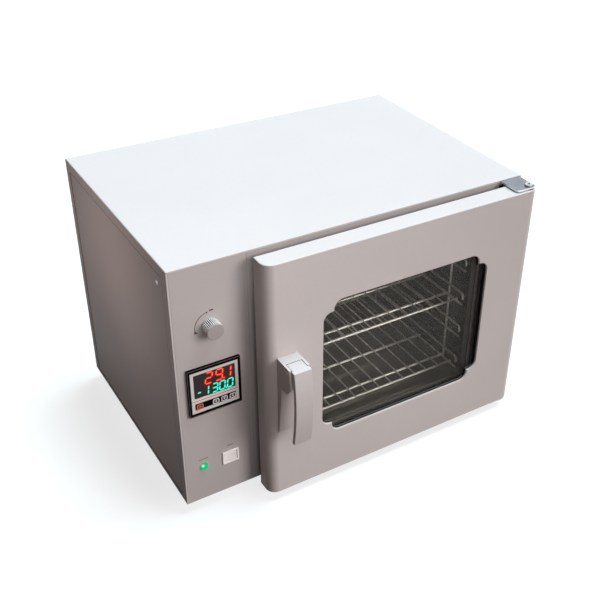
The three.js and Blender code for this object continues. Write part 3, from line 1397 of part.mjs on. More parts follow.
// Mains inlet in the back panel, with a chamfered mouth and three pins
function makeInlet() {
  const face = cabinetDepth + seatGap + inletFlange;
  const flange = roundedOutline(inletX - inletFlangeWidth / 2, inletX + inletFlangeWidth / 2,
    inletZ - inletFlangeHeight / 2, inletZ + inletFlangeHeight / 2, faceSheet);
  const body = facingPlate(flange, cabinetDepth + seatGap, face).add(block(
    inletX - inletBodyWidth / 2, inletX + inletBodyWidth / 2, cabinetDepth - inletBodyDepth,
    cabinetDepth + inletFlange / 2, inletZ - inletBodyHeight / 2, inletZ + inletBodyHeight / 2));
  const [w, h, c] = [inletMouthWidth / 2, inletMouthHeight / 2, inletMouthChamfer];
  const mouth = outlineOf([
    [inletX - w, inletZ - h], [inletX + w, inletZ - h], [inletX + w, inletZ + h - c],
    [inletX + w - c, inletZ + h], [inletX - w + c, inletZ + h], [inletX - w, inletZ + h - c],
  ]);
  const pins = [-1, 0, 1].map((i) => {
    const [x, z] = [inletX + i * inletPinPitch,
      inletZ + (i === 0 ? inletPinHeight / 2 : -inletPinHeight / 2)];
    return block(x - inletPinWidth / 2, x + inletPinWidth / 2, face - inletMouthDepth - inletPinWidth,
      face - inletMouthDepth + inletPinLength, z - inletPinHeight / 2, z + inletPinHeight / 2);
  });
  const hollow = facingPlate(mouth, face - inletMouthDepth, face + overrun);
  addPiece('mains_inlet', join([body.subtract(hollow), ...pins]), blackPlastic);
}

// Relay and terminal block on the base tray
function makeElectrics() {
  const floor = traySheet + seatGap;
  const [x0, x1, y0, y1] = [relayX, relayX + relayWidth, relayY, relayY + relayLength];
  const relay = block(x0, x1, y0, y1, floor, floor + relayHeight);
  const steps = [[y0 - overrun, y0 + relayStep], [y1 - relayStep, y1 + overrun]].map(([a, b]) => block(
    x0 - overrun, x1 + overrun, a, b, floor + relayHeight - relayStepHeight,
      floor + relayHeight + overrun));
  addPiece('heater_relay', cut(relay, steps), blackPlastic);
  const row = block(blockX, blockX + blockLength, blockY, blockY + blockWidth, floor, floor + blockHeight);
  const pole = blockLength / blockPoles;
  const grooves = [];
  for (let i = 1; i < blockPoles; i += 1) {
    const x = blockX + i * pole;
    grooves.push(block(x - blockGroove / 2, x + blockGroove / 2, blockY - overrun,
      blockY + blockWidth + overrun,
      floor + blockHeight / 2, floor + blockHeight + overrun));
  }
  addPiece('terminal_block', cut(row, grooves), whitePlastic);
}

// Rubber feet under the base tray
function makeFeet() {
  const top = -seatGap;
  const profile = [
    [0, -footHeight + footRecessDepth], [footRecessRadius, -footHeight + footRecessDepth],
    [footRecessRadius, -footHeight], [footBottomRadius, -footHeight], [footTopRadius, top], [0, top],
  ];
  const corners = [
    ['front_left', footInset, footInset], ['front_right', cabinetWidth - footInset, footInset],
    ['rear_left', footInset, cabinetDepth - footInset],
    ['rear_right', cabinetWidth - footInset, cabinetDepth - footInset],
  ];
  for (const [corner, x, y] of corners) {
    addPiece(`foot_${corner}`, turnedAlongZ(profile, x, y, 20), blackRubber);
  }
}

makeShell();
makeServicePanel();
makeBaseTray();
makeBackPanel();
makeControlPanel();
makeFrontFrame();
makeLiner();
makeInsulation();
makeBaffle();
makeFan();
makeMotor();
makeHeater();
makeProbe();
makeExhaust();
makeShelf('lower_shelf', lowShelfZ);
makeShelf('upper_shelf', lowShelfZ + 2 * shelfLevelPitch);
makeRack('left_rack', chamberLeft + rackInset, chamberLeft, -1);
makeRack('right_rack', chamberRight - rackInset, chamberRight, 1);
makeDoorSkin();
makeGlazing();
makeDoorInside();
makeHinge('upper', doorTop, doorTop - hingeLeg, 1);
makeHinge('lower', doorBottom, doorBottom + hingeLeg, -1);
makeHandleBlock();
makeLever();
makeStrike();
makeKnob();
makeController();
makeSwitch();
makeLamp();
makeInlet();
makeElectrics();
makeFeet();

// The origin lies under the middle of the whole object, on the surface that it stands on
const rearmost = cabinetDepth + seatGap + inletFlange;
const foremost = doorFront - leverBow;
oven.position.set(-cabinetWidth / 2, -(foremost + rearmost) / 2, footHeight);

export default oven;
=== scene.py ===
"""A bench drying oven with a glazed door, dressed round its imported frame."""
import json
import math

import bpy
from mathutils import Matrix, Vector

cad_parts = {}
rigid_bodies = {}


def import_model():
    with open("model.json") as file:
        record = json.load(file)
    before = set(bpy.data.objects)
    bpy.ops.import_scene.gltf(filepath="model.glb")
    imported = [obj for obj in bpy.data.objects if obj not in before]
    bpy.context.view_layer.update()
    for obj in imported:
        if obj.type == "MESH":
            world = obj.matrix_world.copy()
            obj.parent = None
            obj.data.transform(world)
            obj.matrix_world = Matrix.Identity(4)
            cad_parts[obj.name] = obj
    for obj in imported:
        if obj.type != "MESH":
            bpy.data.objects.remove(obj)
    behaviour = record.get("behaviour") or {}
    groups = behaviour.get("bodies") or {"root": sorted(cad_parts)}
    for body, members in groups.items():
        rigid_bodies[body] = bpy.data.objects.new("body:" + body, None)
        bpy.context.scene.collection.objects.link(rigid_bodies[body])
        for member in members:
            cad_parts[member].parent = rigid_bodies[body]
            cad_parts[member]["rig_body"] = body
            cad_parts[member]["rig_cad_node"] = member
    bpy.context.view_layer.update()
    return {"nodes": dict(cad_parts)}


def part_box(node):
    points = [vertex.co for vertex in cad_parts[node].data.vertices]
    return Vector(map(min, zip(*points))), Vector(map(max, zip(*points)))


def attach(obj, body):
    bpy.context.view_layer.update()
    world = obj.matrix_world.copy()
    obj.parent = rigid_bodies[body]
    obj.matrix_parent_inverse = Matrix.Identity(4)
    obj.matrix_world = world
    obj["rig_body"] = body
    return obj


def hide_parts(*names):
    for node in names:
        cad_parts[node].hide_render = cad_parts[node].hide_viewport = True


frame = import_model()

NODES = frame["nodes"]
MM = 0.001
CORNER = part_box("cabinet_shell")[0]
# Out of the front
FORWARD = (0, -1, 0)
# Millimetres within which two places count as level
TOUCH = 0.01
# The door's hinge line, to the right and back, and the window's middle, to the right and up
PIVOT_X, PIVOT_Y = 566, -33
WINDOW_X, WINDOW_Z = 349, 192.2
# The fan's shaft, back and up, then the lower shelf's rails and how far apart the racks' runners are
SHAFT_Y, SHAFT_Z = 150, 185
SHELF_LEVEL, RUNNER_PITCH = 63.5, 62.75


# Places and sizes

def at(x, y, z):
    """A place in metres from millimetres right, back and up of the cabinet's front bottom left corner."""
    return CORNER + Vector((x, y, z)) * MM


def span(node):
    """The lowest and highest corner of a node in those millimetres."""
    return [(corner - CORNER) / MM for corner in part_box(node)]


def middle(node):
    """The middle of a node in those millimetres."""
    return [(low + high) / 2 for low, high in zip(*span(node))]


def srgb(red, green, blue):
    """A screen colour, 0 to 255, as the linear colour that a shader takes."""
    shares = [value / 255 for value in (red, green, blue)]
    return tuple(s / 12.92 if s <= 0.04045 else ((s + 0.055) / 1.055) ** 2.4 for s in shares) + (1,)


# Finishes

class Reading:
    """A number that changes over a surface. Python's operators on it add Math nodes."""

    def __init__(self, finish, socket):
        self.finish = finish
        self.socket = socket

    def math(self, operation, *values):
        return self.finish.node("ShaderNodeMath", {"operation": operation}, values)

    def __add__(self, other):
        return self.math("ADD", self, other)

    def __sub__(self, other):
        return self.math("SUBTRACT", self, other)

    def __rsub__(self, other):
        return self.math("SUBTRACT", other, self)

    def __mul__(self, other):
        return self.math("MULTIPLY", self, other)

    def above(self, level):
        return self.math("GREATER_THAN", self, level)

    __radd__ = __add__
    __rmul__ = __mul__


class Finish:
    """One material, built from nodes."""

    def __init__(self, name, owner=None):
        self.material = owner or bpy.data.materials.new(name)
        self.material.use_nodes = True
        self.tree = self.material.node_tree
        self.shader = self.tree.nodes.get("Principled BSDF")

    def node(self, kind, settings=None, inputs=(), output=0):
        """Adds a node. Its inputs are a list in order, or go by name or number."""
        made = self.tree.nodes.new(kind)
        for name, value in (settings or {}).items():
            setattr(made, name, value)
        pairs = inputs.items() if isinstance(inputs, dict) else enumerate(inputs)
        for key, value in pairs:
            self.feed(made.inputs[key], value)
        return Reading(self, made.outputs[output])

    def feed(self, socket, value):
        if isinstance(value, Reading):
            self.tree.links.new(value.socket, socket)
        else:
            socket.default_value = value

    def surface(self, **values):
        """Sets the shader's sockets, written with underscores for spaces."""
        for name, value in values.items():
            self.feed(self.shader.inputs[name.replace("_", " ")], value)
        return self

    def place(self, stretch=(1, 1, 1)):
        """Object coordinates, stretched along each axis."""
        where = self.node("ShaderNodeTexCoord", output="Object")
        return self.node("ShaderNodeMapping", inputs={"Vector": where, "Scale": stretch})

    def noise(self, scale, detail=2.0, roughness=0.5, stretch=(1, 1, 1)):
        inputs = {"Vector": self.place(stretch), "Scale": scale, "Detail": detail, "Roughness": roughness}
        return self.node("ShaderNodeTexNoise", inputs=inputs)

    def blend(self, share, first, second):
        return self.node("ShaderNodeMix", {"data_type": "RGBA"}, {0: share, 6: first, 7: second}, 2)

    def bump(self, height, distance, strength=1.0):
        inputs = {"Strength": strength, "Distance": distance, "Height": height}
        return self.node("ShaderNodeBump", inputs=inputs)


def shade(colour, factor):
    """A colour made lighter or darker."""
    return tuple(value * factor for value in colour[:3]) + (1,)


def powder_coat(name, colour, roughness=0.42):
    """Sprayed and baked enamel: a faint orange peel and slow drifts of tone."""
    finish = Finish(name)
    drift = finish.noise(7, 3)
    fine = finish.noise(160, 2)
    base = finish.blend(drift * 0.7 + fine * 0.3, shade(colour, 0.93), shade(colour, 1.06))
    peel = finish.noise(1100, 1.5)
    return finish.surface(
        Base_Color=base, Roughness=roughness + (drift - 0.5) * 0.16 + (fine - 0.5) * 0.1,
        Normal=finish.bump(peel, 0.00004, 0.35), Specular_IOR_Level=0.02,
    ).material


def bright_sheet(name, colour, roughness, metal=1.0, walls=1.0):
    """Polished stainless sheet with the fine grain that the mill leaves along one direction. The side walls
    can be painted darker than the rest, as painted shade."""
    finish = Finish(name)
    grain = finish.noise(900, 3, 0.6, (1, 0.02, 1))
    cloud = finish.noise(14, 3)
    base = finish.blend(cloud, shade(colour, 0.86), shade(colour, 1.1))
    if walls < 1:
        # Painted shade: faces that point sideways take a darker colour
        base = finish.blend(facing(finish, 0).above(0.7), base, shade(colour, walls))
    return finish.surface(
        Base_Color=base,
        Metallic=metal, Roughness=roughness + (grain - 0.5) * 0.06 + (cloud - 0.5) * 0.12,
        Normal=finish.bump(grain, 0.00001, 0.12),
    ).material


def facing(finish, axis):
    """How squarely a surface faces one way or the other along an axis, 0 for X to 2 for Z, from 0 to 1."""
    normal = finish.node("ShaderNodeNewGeometry", output="Normal")
    share = finish.node("ShaderNodeSeparateXYZ", inputs=(normal,), output=axis)
    return share.math("ABSOLUTE", share)


def plated(name, colour, roughness=0.3, edge=None, metal=1.0, mottle=0.15):
    """Zinc or nickel plating: small spangles and a slight haze. Faces that don't point up can take another
    colour, as a painted highlight.
    """
    finish = Finish(name)
    spangle = finish.noise(420, 3, 0.6)
    haze = finish.noise(75, 3)
    base = finish.blend((haze - 0.5) * 1.6 + 0.5, shade(colour, 1 - mottle), shade(colour, 1 + mottle))
    # Painted highlight: faces that don't point up take the edge colour
    if edge:
        base = finish.blend(facing(finish, 2).above(0.6), edge, base)
    return finish.surface(
        Base_Color=base,
        Metallic=metal, Roughness=roughness + (haze - 0.5) * 0.2 + (spangle - 0.5) * 0.1,
        Normal=finish.bump(spangle, 0.00003, 0.3),
    ).material


def moulded(name, colour, roughness=0.45, grain=700, depth=0.00003, gloss=0.5):
    """Moulded plastic with a fine spark texture."""
    finish = Finish(name)
    spark = finish.noise(grain, 2)
    wear = finish.noise(35, 3)
    return finish.surface(
        Base_Color=finish.blend(wear, shade(colour, 0.9), shade(colour, 1.1)),
        Roughness=roughness + (wear - 0.5) * 0.15, Normal=finish.bump(spark, depth, 0.4),
        Specular_IOR_Level=gloss,
    ).material


def rubbery(name, colour, ledge=None):
    """Rubber with a fine grain and dust, and paler in patches on faces that point up."""
    finish = Finish(name)
    grain = finish.noise(500, 4)
    dust = finish.noise(60, 4)
    base = finish.blend((dust - 0.45) * 2.0, colour, shade(colour, 1.8))
    if ledge:
        base = finish.blend(facing(finish, 2).above(0.7) * (dust * 0.6 + 0.6), base, ledge)
    return finish.surface(
        Base_Color=base,
        Roughness=0.8 + (dust - 0.5) * 0.2, Normal=finish.bump(grain, 0.00005, 0.5),
        Specular_IOR_Level=0.03,
    ).material


def woolly(name, colour):
    """Loose mineral fibres."""
    finish = Finish(name)
    fibres = finish.noise(260, 5, 0.7, (1, 1, 4))
    return finish.surface(
        Base_Color=finish.blend(fibres, shade(colour, 0.6), shade(colour, 1.25)),
        Roughness=0.95, Normal=finish.bump(fibres, 0.0008, 0.8),
    ).material


def clear_pane(name, tint, gloss):
    """Window glass: a tinted transparent body under a faint reflection with a few smears."""
    finish = Finish(name)
    smear = finish.noise(9, 4, 0.6, (1, 1, 2.5))
    edge = finish.node("ShaderNodeLayerWeight", inputs={"Blend": 0.35}, output="Fresnel")
    clear = finish.node("ShaderNodeBsdfTransparent", inputs={"Color": tint})
    finish.surface(
        Base_Color=(0.075, 0.071, 0.065, 1), Roughness=0.04 + (smear - 0.4) * 0.12)
    share = edge * gloss + (smear - 0.5) * 0.06 + 0.035
    mirror = Reading(finish, finish.shader.outputs[0])
    mix = finish.node("ShaderNodeMixShader", inputs=(share, clear, mirror))
    finish.feed(finish.tree.nodes["Material Output"].inputs["Surface"], mix)
    return finish.material


def lit(name, colour, strength):
    """Something that glows evenly."""
    return Finish(name).surface(
        Base_Color=shade(colour, 0.06), Roughness=0.5, Specular_IOR_Level=0.1,
        Emission_Color=colour, Emission_Strength=strength,
    ).material


def printed(name, colour):
    """Screen-printed ink, a little uneven."""
    finish = Finish(name)
    cover = finish.noise(1500, 2)
    return finish.surface(Base_Color=finish.blend(cover, colour, shade(colour, 1.5)), Roughness=0.55).material


def glowing_lens(name, node):
    """Moulded lens: deep colour with a glow, which near its upper left turns almost white as a painted
    highlight.
    """
    finish = Finish(name)
    facets = finish.noise(380, 1)
    x, _, z = middle(node)
    # Painted highlight: the glow fades to near white round this place
    highlight_centre = at(x - 2.6, span(node)[1].y - 2.6, z + 3)
    fade = 340
    where = finish.node("ShaderNodeTexCoord", output="Object")
    reach = finish.node("ShaderNodeVectorMath", {"operation": "DISTANCE"}, (where, highlight_centre), "Value")
    core = finish.node("ShaderNodeMath", {"operation": "SUBTRACT", "use_clamp": True}, (1.0, reach * fade))
    return finish.surface(
        Base_Color=finish.blend(facets, srgb(0, 76, 46), srgb(0, 96, 60)), Roughness=0.1,
        Emission_Color=finish.blend(core, srgb(0, 164, 104), srgb(225, 255, 246)), Emission_Strength=1.15,
        Normal=finish.bump(facets, 0.0001, 0.4), Specular_IOR_Level=0.1,
    ).material


PAINT = srgb(200, 190, 188)
paint = powder_coat("warm_grey_enamel", PAINT)
door_paint = powder_coat("door_enamel", PAINT, 0.38)
# The control column's enamel is the cabinet's paint made darker, as painted shade
column_paint_shaded = powder_coat("column_enamel", shade(PAINT, 0.84))
# The front frame's enamel is the cabinet's paint made darker still, as painted shade in the gaps round the
# door
frame_paint_shaded = powder_coat("frame_enamel", shade(PAINT, 0.76))
handle_paint = powder_coat("handle_enamel", shade(PAINT, 0.93), 0.35)
# The liner's side walls are painted darker, as painted shade
liner_steel = bright_sheet("polished_liner", srgb(160, 154, 147), 0.2, 0.7, 0.42)
baffle_steel = bright_sheet("baffle_steel", srgb(152, 147, 140), 0.34, 0.7)
# The frame between the panes is made very dark, as painted shade in the gap between them
frame_steel_shaded = bright_sheet("frame_steel_shaded", srgb(62, 56, 54), 0.3)
wire_steel = plated("bright_wire", srgb(255, 252, 247), 0.25, metal=0.4)
zinc = plated("zinc_plate", srgb(176, 180, 186), 0.34)
# The hinge leaves are dark on top, with a pale painted highlight on every face that doesn't point up
hinge_zinc = plated("hinge_plate", srgb(88, 90, 96), 0.5, srgb(206, 208, 211), mottle=0.34)
bolt_steel = plated("bolt_steel", srgb(138, 140, 144), 0.4)
brass = plated("oiled_bronze", srgb(112, 98, 78), 0.4)
heater_sheath = plated("heater_sheath", srgb(104, 92, 84), 0.45)
black_case = moulded("black_plastic", srgb(17, 11, 12), 0.45, gloss=0.0)
# The pale rim round the bezel is a painted highlight along its edge
bezel_painted_highlight = moulded("bezel_rim_highlight", srgb(96, 86, 84), 0.4, gloss=0.05)
key_black = moulded("black_key", srgb(28, 24, 24), 0.4, gloss=0.15)
face_grey = moulded("face_grey", srgb(206, 199, 195), 0.4)
# Lit and shaded copies of the knob's one plastic: a darker face, pale ribs as painted highlight, and a near
# black core as painted shade between the ribs
knob_grey = moulded("knob_grey", shade(PAINT, 0.63), 0.4, gloss=0.1)
rib_painted_highlight = moulded("rib_painted_highlight", srgb(240, 234, 231), 0.35, gloss=0.2)
groove_painted_shade = moulded("groove_painted_shade", srgb(10, 7, 7), 0.7, gloss=0.0)
white_gloss = moulded("white_plastic", srgb(255, 247, 244), 0.25, 300, 0.00001, gloss=0.9)
rubber = rubbery("black_rubber", srgb(20, 19, 19))
gasket_rubber = rubbery("gasket_rubber", srgb(19, 17, 17), srgb(92, 87, 84))
silicone = rubbery("grey_silicone", srgb(96, 92, 88))
wool = woolly("mineral_wool", srgb(196, 184, 138))
pane = clear_pane("window_glass", (0.965, 0.96, 0.95, 1), 0.12)
smoked = moulded("smoked_window", srgb(46, 31, 31), 0.15, 400, 0.000005, gloss=0.12)
ink = printed("grey_ink", srgb(36, 29, 30))
light_ink = printed("light_ink", srgb(214, 203, 201))
red_halo = lit("red_halo", srgb(150, 14, 6), 0.9)
red_light = lit("red_segments", srgb(255, 40, 18), 1.3)
red_core = lit("red_cores", srgb(255, 132, 96), 1.0)
green_halo = lit("green_halo", srgb(0, 92, 66), 0.9)
green_light = lit("green_segments", srgb(0, 236, 202), 1.3)
green_core = lit("green_cores", srgb(120, 255, 236), 1.0)
# The first key's printed mark is made to glow, as painted light
orange_key_glow = lit("orange_key", srgb(226, 112, 78), 0.8)
orange_line = printed("orange_ink", srgb(138, 78, 60))
# The pale band on either side of the printed line is a painted highlight
band_painted_highlight = printed("band_painted_highlight", srgb(222, 196, 186))
lens_green = glowing_lens("green_lens", "lamp_lens")


# Modelling helpers

def activate(piece):
    """Makes a piece the only one selected."""
    bpy.ops.object.select_all(action="DESELECT")
    piece.select_set(True)
    bpy.context.view_layer.objects.active = piece


def named(name):
    """The piece that was just added, with its place and size moved into its mesh."""
    piece = bpy.context.object
    piece.name = piece.data.name = name
    activate(piece)
    bpy.ops.object.transform_apply(location=True, rotation=True, scale=True)
    return piece


def block(name, low, high):
    """A box between two corners."""
    bpy.ops.object.select_all(action="DESELECT")
    low, high = at(*low), at(*high)
    bpy.ops.mesh.primitive_cube_add(size=1, location=(low + high) / 2, scale=high - low)
    return named(name)


def rod(name, start, end, radius, sides=16):
    """A round bar from one place to another."""
    bpy.ops.object.select_all(action="DESELECT")
    start, end = at(*start), at(*end)
    turn = (end - start).to_track_quat("Z", "Y").to_euler()
    bpy.ops.mesh.primitive_cone_add(
        vertices=sides, radius1=radius * MM, radius2=radius * MM,
        depth=(end - start).length, location=(start + end) / 2, rotation=turn)
    return named(name)


def choose(piece, kind, test):
    """Opens a piece for editing with only those faces or edges selected that pass the test."""
    activate(piece)
    mesh = piece.data
    for items in (mesh.vertices, mesh.edges, mesh.polygons):
        items.foreach_set("select", [False] * len(items))
    places = [(vertex.co - CORNER) / MM for vertex in mesh.vertices]
    if kind == "FACE":
        for face in mesh.polygons:
            face.select = test((face.center - CORNER) / MM, face.normal)
    else:
        for edge in mesh.edges:
            edge.select = test(*[places[i] for i in edge.vertices])
    bpy.context.tool_settings.mesh_select_mode = (False, kind == "EDGE", kind == "FACE")
    bpy.ops.object.mode_set(mode="EDIT")


def close_edit(outward=False):
    """Ends the editing of a piece, first with its faces turned outward where that is asked for."""
    if outward:
        bpy.ops.mesh.normals_make_consistent(inside=False)
    bpy.ops.object.mode_set(mode="OBJECT")


def open_whole(piece):
    """Opens a piece for editing with all of it selected."""
    choose(piece, "FACE", lambda centre, normal: True)


def remove_faces(piece, test):
    """Deletes the faces that pass a test on their middle and normal."""
    choose(piece, "FACE", test)
    bpy.ops.mesh.delete(type="FACE")
    close_edit()


def runs_along(axis):
    """A test for edges that run along an axis, 0 for X to 2 for Z."""
    others = [i for i in range(3) if i != axis]
    return lambda a, b: all(abs(a[i] - b[i]) < TOUCH for i in others)


def round_edges(piece, test, radius, segments):
    """Rounds the edges that pass a test on their two ends."""
    choose(piece, "EDGE", test)
    bpy.ops.mesh.bevel(offset=radius * MM, segments=segments, affect="EDGES", clamp_overlap=True)
    close_edit()


def modify(piece, kind, **settings):
    """Adds a modifier to a piece and applies it."""
    activate(piece)
    modifier = piece.modifiers.new(kind.lower(), kind)
    for name, value in settings.items():
        setattr(modifier, name, value)
    bpy.ops.object.modifier_apply(modifier=modifier.name)


def soften(piece, radius, segments=2, angle=40):
    """Rounds every crisp edge a little."""
    modify(piece, "BEVEL", width=radius * MM, segments=segments, limit_method="ANGLE",
           angle_limit=math.radians(angle), use_clamp_overlap=True)


def combine(piece, other, operation):
    """Joins or cuts a piece with another one, which is used up."""
    modify(piece, "BOOLEAN", object=other, operation=operation, solver="EXACT")
    bpy.data.objects.remove(other)


def carve(piece, cutter):
    """Cuts another piece out of a piece."""
    combine(piece, cutter, "DIFFERENCE")


def gather(pieces, name):
    """Several separate meshes as one piece."""
    activate(pieces[0])
    for piece in pieces:
        piece.select_set(True)
    bpy.ops.object.join()
    pieces[0].name = pieces[0].data.name = name
    return pieces[0]


def again(piece, move):
    """A copy of a piece with a mesh of its own, moved by millimetres or turned by a matrix."""
    copy = piece.copy()
    copy.data = piece.data.copy()
    bpy.context.scene.collection.objects.link(copy)
    copy.data.transform(move if isinstance(move, Matrix) else Matrix.Translation(Vector(move) * MM))
    return copy


def smooth(piece, degrees=35):
    """Smooth shading between faces that meet at a small angle, with flat faces kept flat."""
    activate(piece)
    bpy.ops.object.shade_smooth_by_angle(angle=math.radians(degrees))
    modify(piece, "WEIGHTED_NORMAL", keep_sharp=True, weight=100)


def prism(name, outline, depth):
    """A flat outline of places, pulled out along a direction in millimetres."""
    bpy.ops.object.select_all(action="DESELECT")
    bpy.ops.mesh.primitive_circle_add(vertices=len(outline), fill_type="NGON")
    piece = named(name)
    for vertex, place in zip(piece.data.vertices, outline):
        vertex.co = at(*place)
    open_whole(piece)
    bpy.ops.mesh.extrude_region_move(TRANSFORM_OT_translate={"value": Vector(depth) * MM})
    bpy.ops.mesh.select_all(action="SELECT")
    close_edit(outward=True)
    return piece


def turned(name, profile, foot, axis, steps=48):
    """A profile of (radius, height) pairs, spun about an axis through a foot.

    It starts and ends on the axis, where its closing edge is dropped before the spin."""
    bpy.ops.object.select_all(action="DESELECT")
    bpy.ops.mesh.primitive_circle_add(vertices=len(profile), fill_type="NOTHING")
    piece = named(name)
    axis = Vector(axis)
    side = axis.orthogonal().normalized()
    foot = at(*foot)
    for vertex, (radius, height) in zip(piece.data.vertices, profile):
        vertex.co = foot + (side * radius + axis * height) * MM
    first, last = foot + axis * profile[0][1] * MM, foot + axis * profile[-1][1] * MM
    ends = {tuple(round(v, 6) for v in (place - CORNER) / MM) for place in (first, last)}
    choose(piece, "EDGE", lambda a, b: {tuple(round(v, 6) for v in p) for p in (a, b)} == ends)
    bpy.ops.mesh.delete(type="EDGE")
    bpy.ops.mesh.select_all(action="SELECT")
    bpy.ops.mesh.spin(steps=steps, angle=2 * math.pi, center=foot, axis=axis)
    bpy.ops.mesh.select_all(action="SELECT")
    bpy.ops.mesh.remove_doubles(threshold=0.000002)
    close_edit(outward=True)
    return piece


def bent_wire(name, places, radius):
    """A wire through places, as a curve with round section made into a mesh."""
    curve = bpy.data.curves.new(name, "CURVE")
    curve.dimensions = "3D"
    curve.bevel_depth = radius * MM
    curve.bevel_resolution = 2
    curve.use_fill_caps = True
    line = curve.splines.new("POLY")
    line.points.add(len(places) - 1)
    for point, place in zip(line.points, places):
        point.co = (*at(*place), 1)
    piece = bpy.data.objects.new(name, curve)
    bpy.context.scene.collection.objects.link(piece)
    activate(piece)
    bpy.ops.object.convert(target="MESH")
    piece = bpy.context.object
    open_whole(piece)
    bpy.ops.mesh.remove_doubles(threshold=0.000002)
    close_edit(outward=True)
    return piece


def refined(node, name, radius, segments=2):
    """A copy of a node whose loose faces are merged and whose edges are softened."""
    piece = NODES[node].copy()
    piece.data = NODES[node].data.copy()
    piece.parent = None
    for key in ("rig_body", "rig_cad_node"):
        if key in piece:
            del piece[key]
    bpy.context.scene.collection.objects.link(piece)
    piece.name = piece.data.name = name
    open_whole(piece)
    bpy.ops.mesh.remove_doubles(threshold=0.00001)
    bpy.ops.mesh.dissolve_limited(angle_limit=math.radians(0.5))
    close_edit(outward=True)
    soften(piece, radius, segments)
    smooth(piece)
    return piece


def fit(piece, body, material, slot, *replaced):
    """Paints a piece, lets it ride on a body, and hides the nodes that it stands for."""
    piece.data.materials.clear()
    piece.data.materials.append(material)
    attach(piece, body)
    if replaced:
        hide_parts(*replaced)


def paint_node(node, material):
    """Gives a CAD node that shows as it is its material."""
    for slot in NODES[node].material_slots:
        slot.material = material


def arc(centre, radius, start, end, steps):
    """Places on an arc in a plane, as pairs. Angles are in degrees."""
    angles = [math.radians(start + (end - start) * i / steps) for i in range(steps + 1)]
    return [(centre[0] + radius * math.cos(a), centre[1] + radius * math.sin(a)) for a in angles]


# Door

def window_outline(grow):
    """The stepped window outline in x and z, grown on every side."""
    width, height, notch, radius, steps = 289.5, 233.5, 17, 14 + grow, 8
    half_x, half_z = width / 2 + grow, height / 2 + grow
    wide = (half_x - radius, half_z - notch - radius)
    tall = (half_x - notch - radius, half_z - radius)
    outline = []
    for i, (sx, sz) in enumerate([(1, -1), (1, 1), (-1, 1), (-1, -1)]):
        start = 90 * (i - 1)
        inner, first, last = [
            (WINDOW_X + sx * x, WINDOW_Z + sz * z)
            for x, z in ((half_x - notch, half_z - notch), *((wide, tall) if i % 2 else (tall, wide)))
        ]
        outline += arc(first, radius, start, start + 90, steps) + [inner]
        outline += arc(last, radius, start, start + 90, steps)
    return outline


def window_prism(name, grow, front, back):
    """The window's outline as a solid between two depths."""
    return prism(name, [(x, front, z) for x, z in window_outline(grow)], (0, back - front, 0))


def make_door_skin():
    """A folded pan with big rounded sides, the rolled edge of the window, and holes for latch and bushes."""
    low, high = span("door_skin")
    side_round, rim_round, lip_round, sheet = 16, 1.4, 1.3, 1.5
    near = low.y + TOUCH
    skin = block("door_pan", low, high)
    remove_faces(skin, lambda centre, normal: normal.y > 0.9)
    round_edges(skin, lambda a, b: max(a.y, b.y) < near and abs(a.x - b.x) < TOUCH, side_round, 12)
    for level in (low.z, high.z):
        round_edges(skin, lambda a, b: max(abs(a.z - level), abs(b.z - level)) < TOUCH
                    and min(a.y, b.y) < high.y - TOUCH, rim_round, 3)
    modify(skin, "SOLIDIFY", thickness=sheet * MM, offset=-1)
    combine(skin, window_prism("lip", sheet, low.y + 1, low.y + 3), "UNION")
    carve(skin, window_prism("opening", 0, low.y - 4, low.y + 7))
    inside = lambda p: 200 < p.x < 498 and 70 < p.z < 315
    round_edges(skin, lambda a, b: max(a.y, b.y) < near and inside(a) and inside(b), lip_round, 4)
    carve(skin, block("slot", (140, low.y - 2, 200), (151, low.y + 3, 234)))
    for name, level in (("bush_top", high.z), ("bush_low", low.z)):
        carve(skin, rod(name, (PIVOT_X, PIVOT_Y, level - 4), (PIVOT_X, PIVOT_Y, level + 4), 7.3, 32))
    smooth(skin)
    fit(skin, "door", door_paint, "grey_paint", "door_skin")


def make_gasket():
    """The rubber frame round the outer pane, which shows as a narrow ledge inside the door's window."""
    low, high = span("window_gasket")
    gasket = block("gasket_rubber", low, high)
    round_edges(gasket, runs_along(1), 10, 6)
    carve(gasket, window_prism("gasket_hole", -2, low.y - 2, high.y + 2))
    inside = lambda p: abs(p.x - WINDOW_X) < 144 and abs(p.z - WINDOW_Z) < 116
    round_edges(gasket, lambda a, b: max(a.y, b.y) < low.y + TOUCH and inside(a) and inside(b), 0.8, 2)
    smooth(gasket)
    fit(gasket, "door", gasket_rubber, "black_rubber", "window_gasket")


# Hinges

def make_painted_hinge_shadow():
    """A dark rubber pad in the gap below the left end of the upper hinge plate, put there as painted shadow.
    """
    left, top = span("upper_hinge_plate")[0].x, span("door_skin")[1].z
    front, back, height = -8.5, -3.6, 14
    pad = block("painted_hinge_shadow", (left - 5, front, top - height), (left + 6, back, top))
    soften(pad, 0.4)
    smooth(pad)
    fit(pad, "root", rubber, "black_rubber")


def make_hinges():
    """A bevelled leaf, and a bolt with a socket in its rounded head, above and below the door."""
    for name, up in (("upper", 1), ("lower", -1)):
        plate = refined(f"{name}_hinge_plate", f"{name}_hinge_leaf", 0.5)
        fit(plate, "root", hinge_zinc, "zinc_plate", f"{name}_hinge_plate")
        low, high = span(f"{name}_pivot_bolt")
        head = high.z if up > 0 else low.z
        tail = low.z if up > 0 else high.z
        length = abs(head - tail)
        bolt = turned(f"{name}_hinge_bolt", [
            (0, 0), (3.5, 0), (3.5, length - 2.4), (6.4, length - 2.4), (6.5, length - 1.2),
            (5.6, length - 0.2), (4.6, length), (2.4, length), (2.2, length - 0.3), (2.2, length - 1.8),
            (0, length - 2.0),
        ], (PIVOT_X, PIVOT_Y, tail), (0, 0, up))
        smooth(bolt)
        fit(bolt, "root", bolt_steel, "zinc_plate", f"{name}_pivot_bolt")


# Chamber

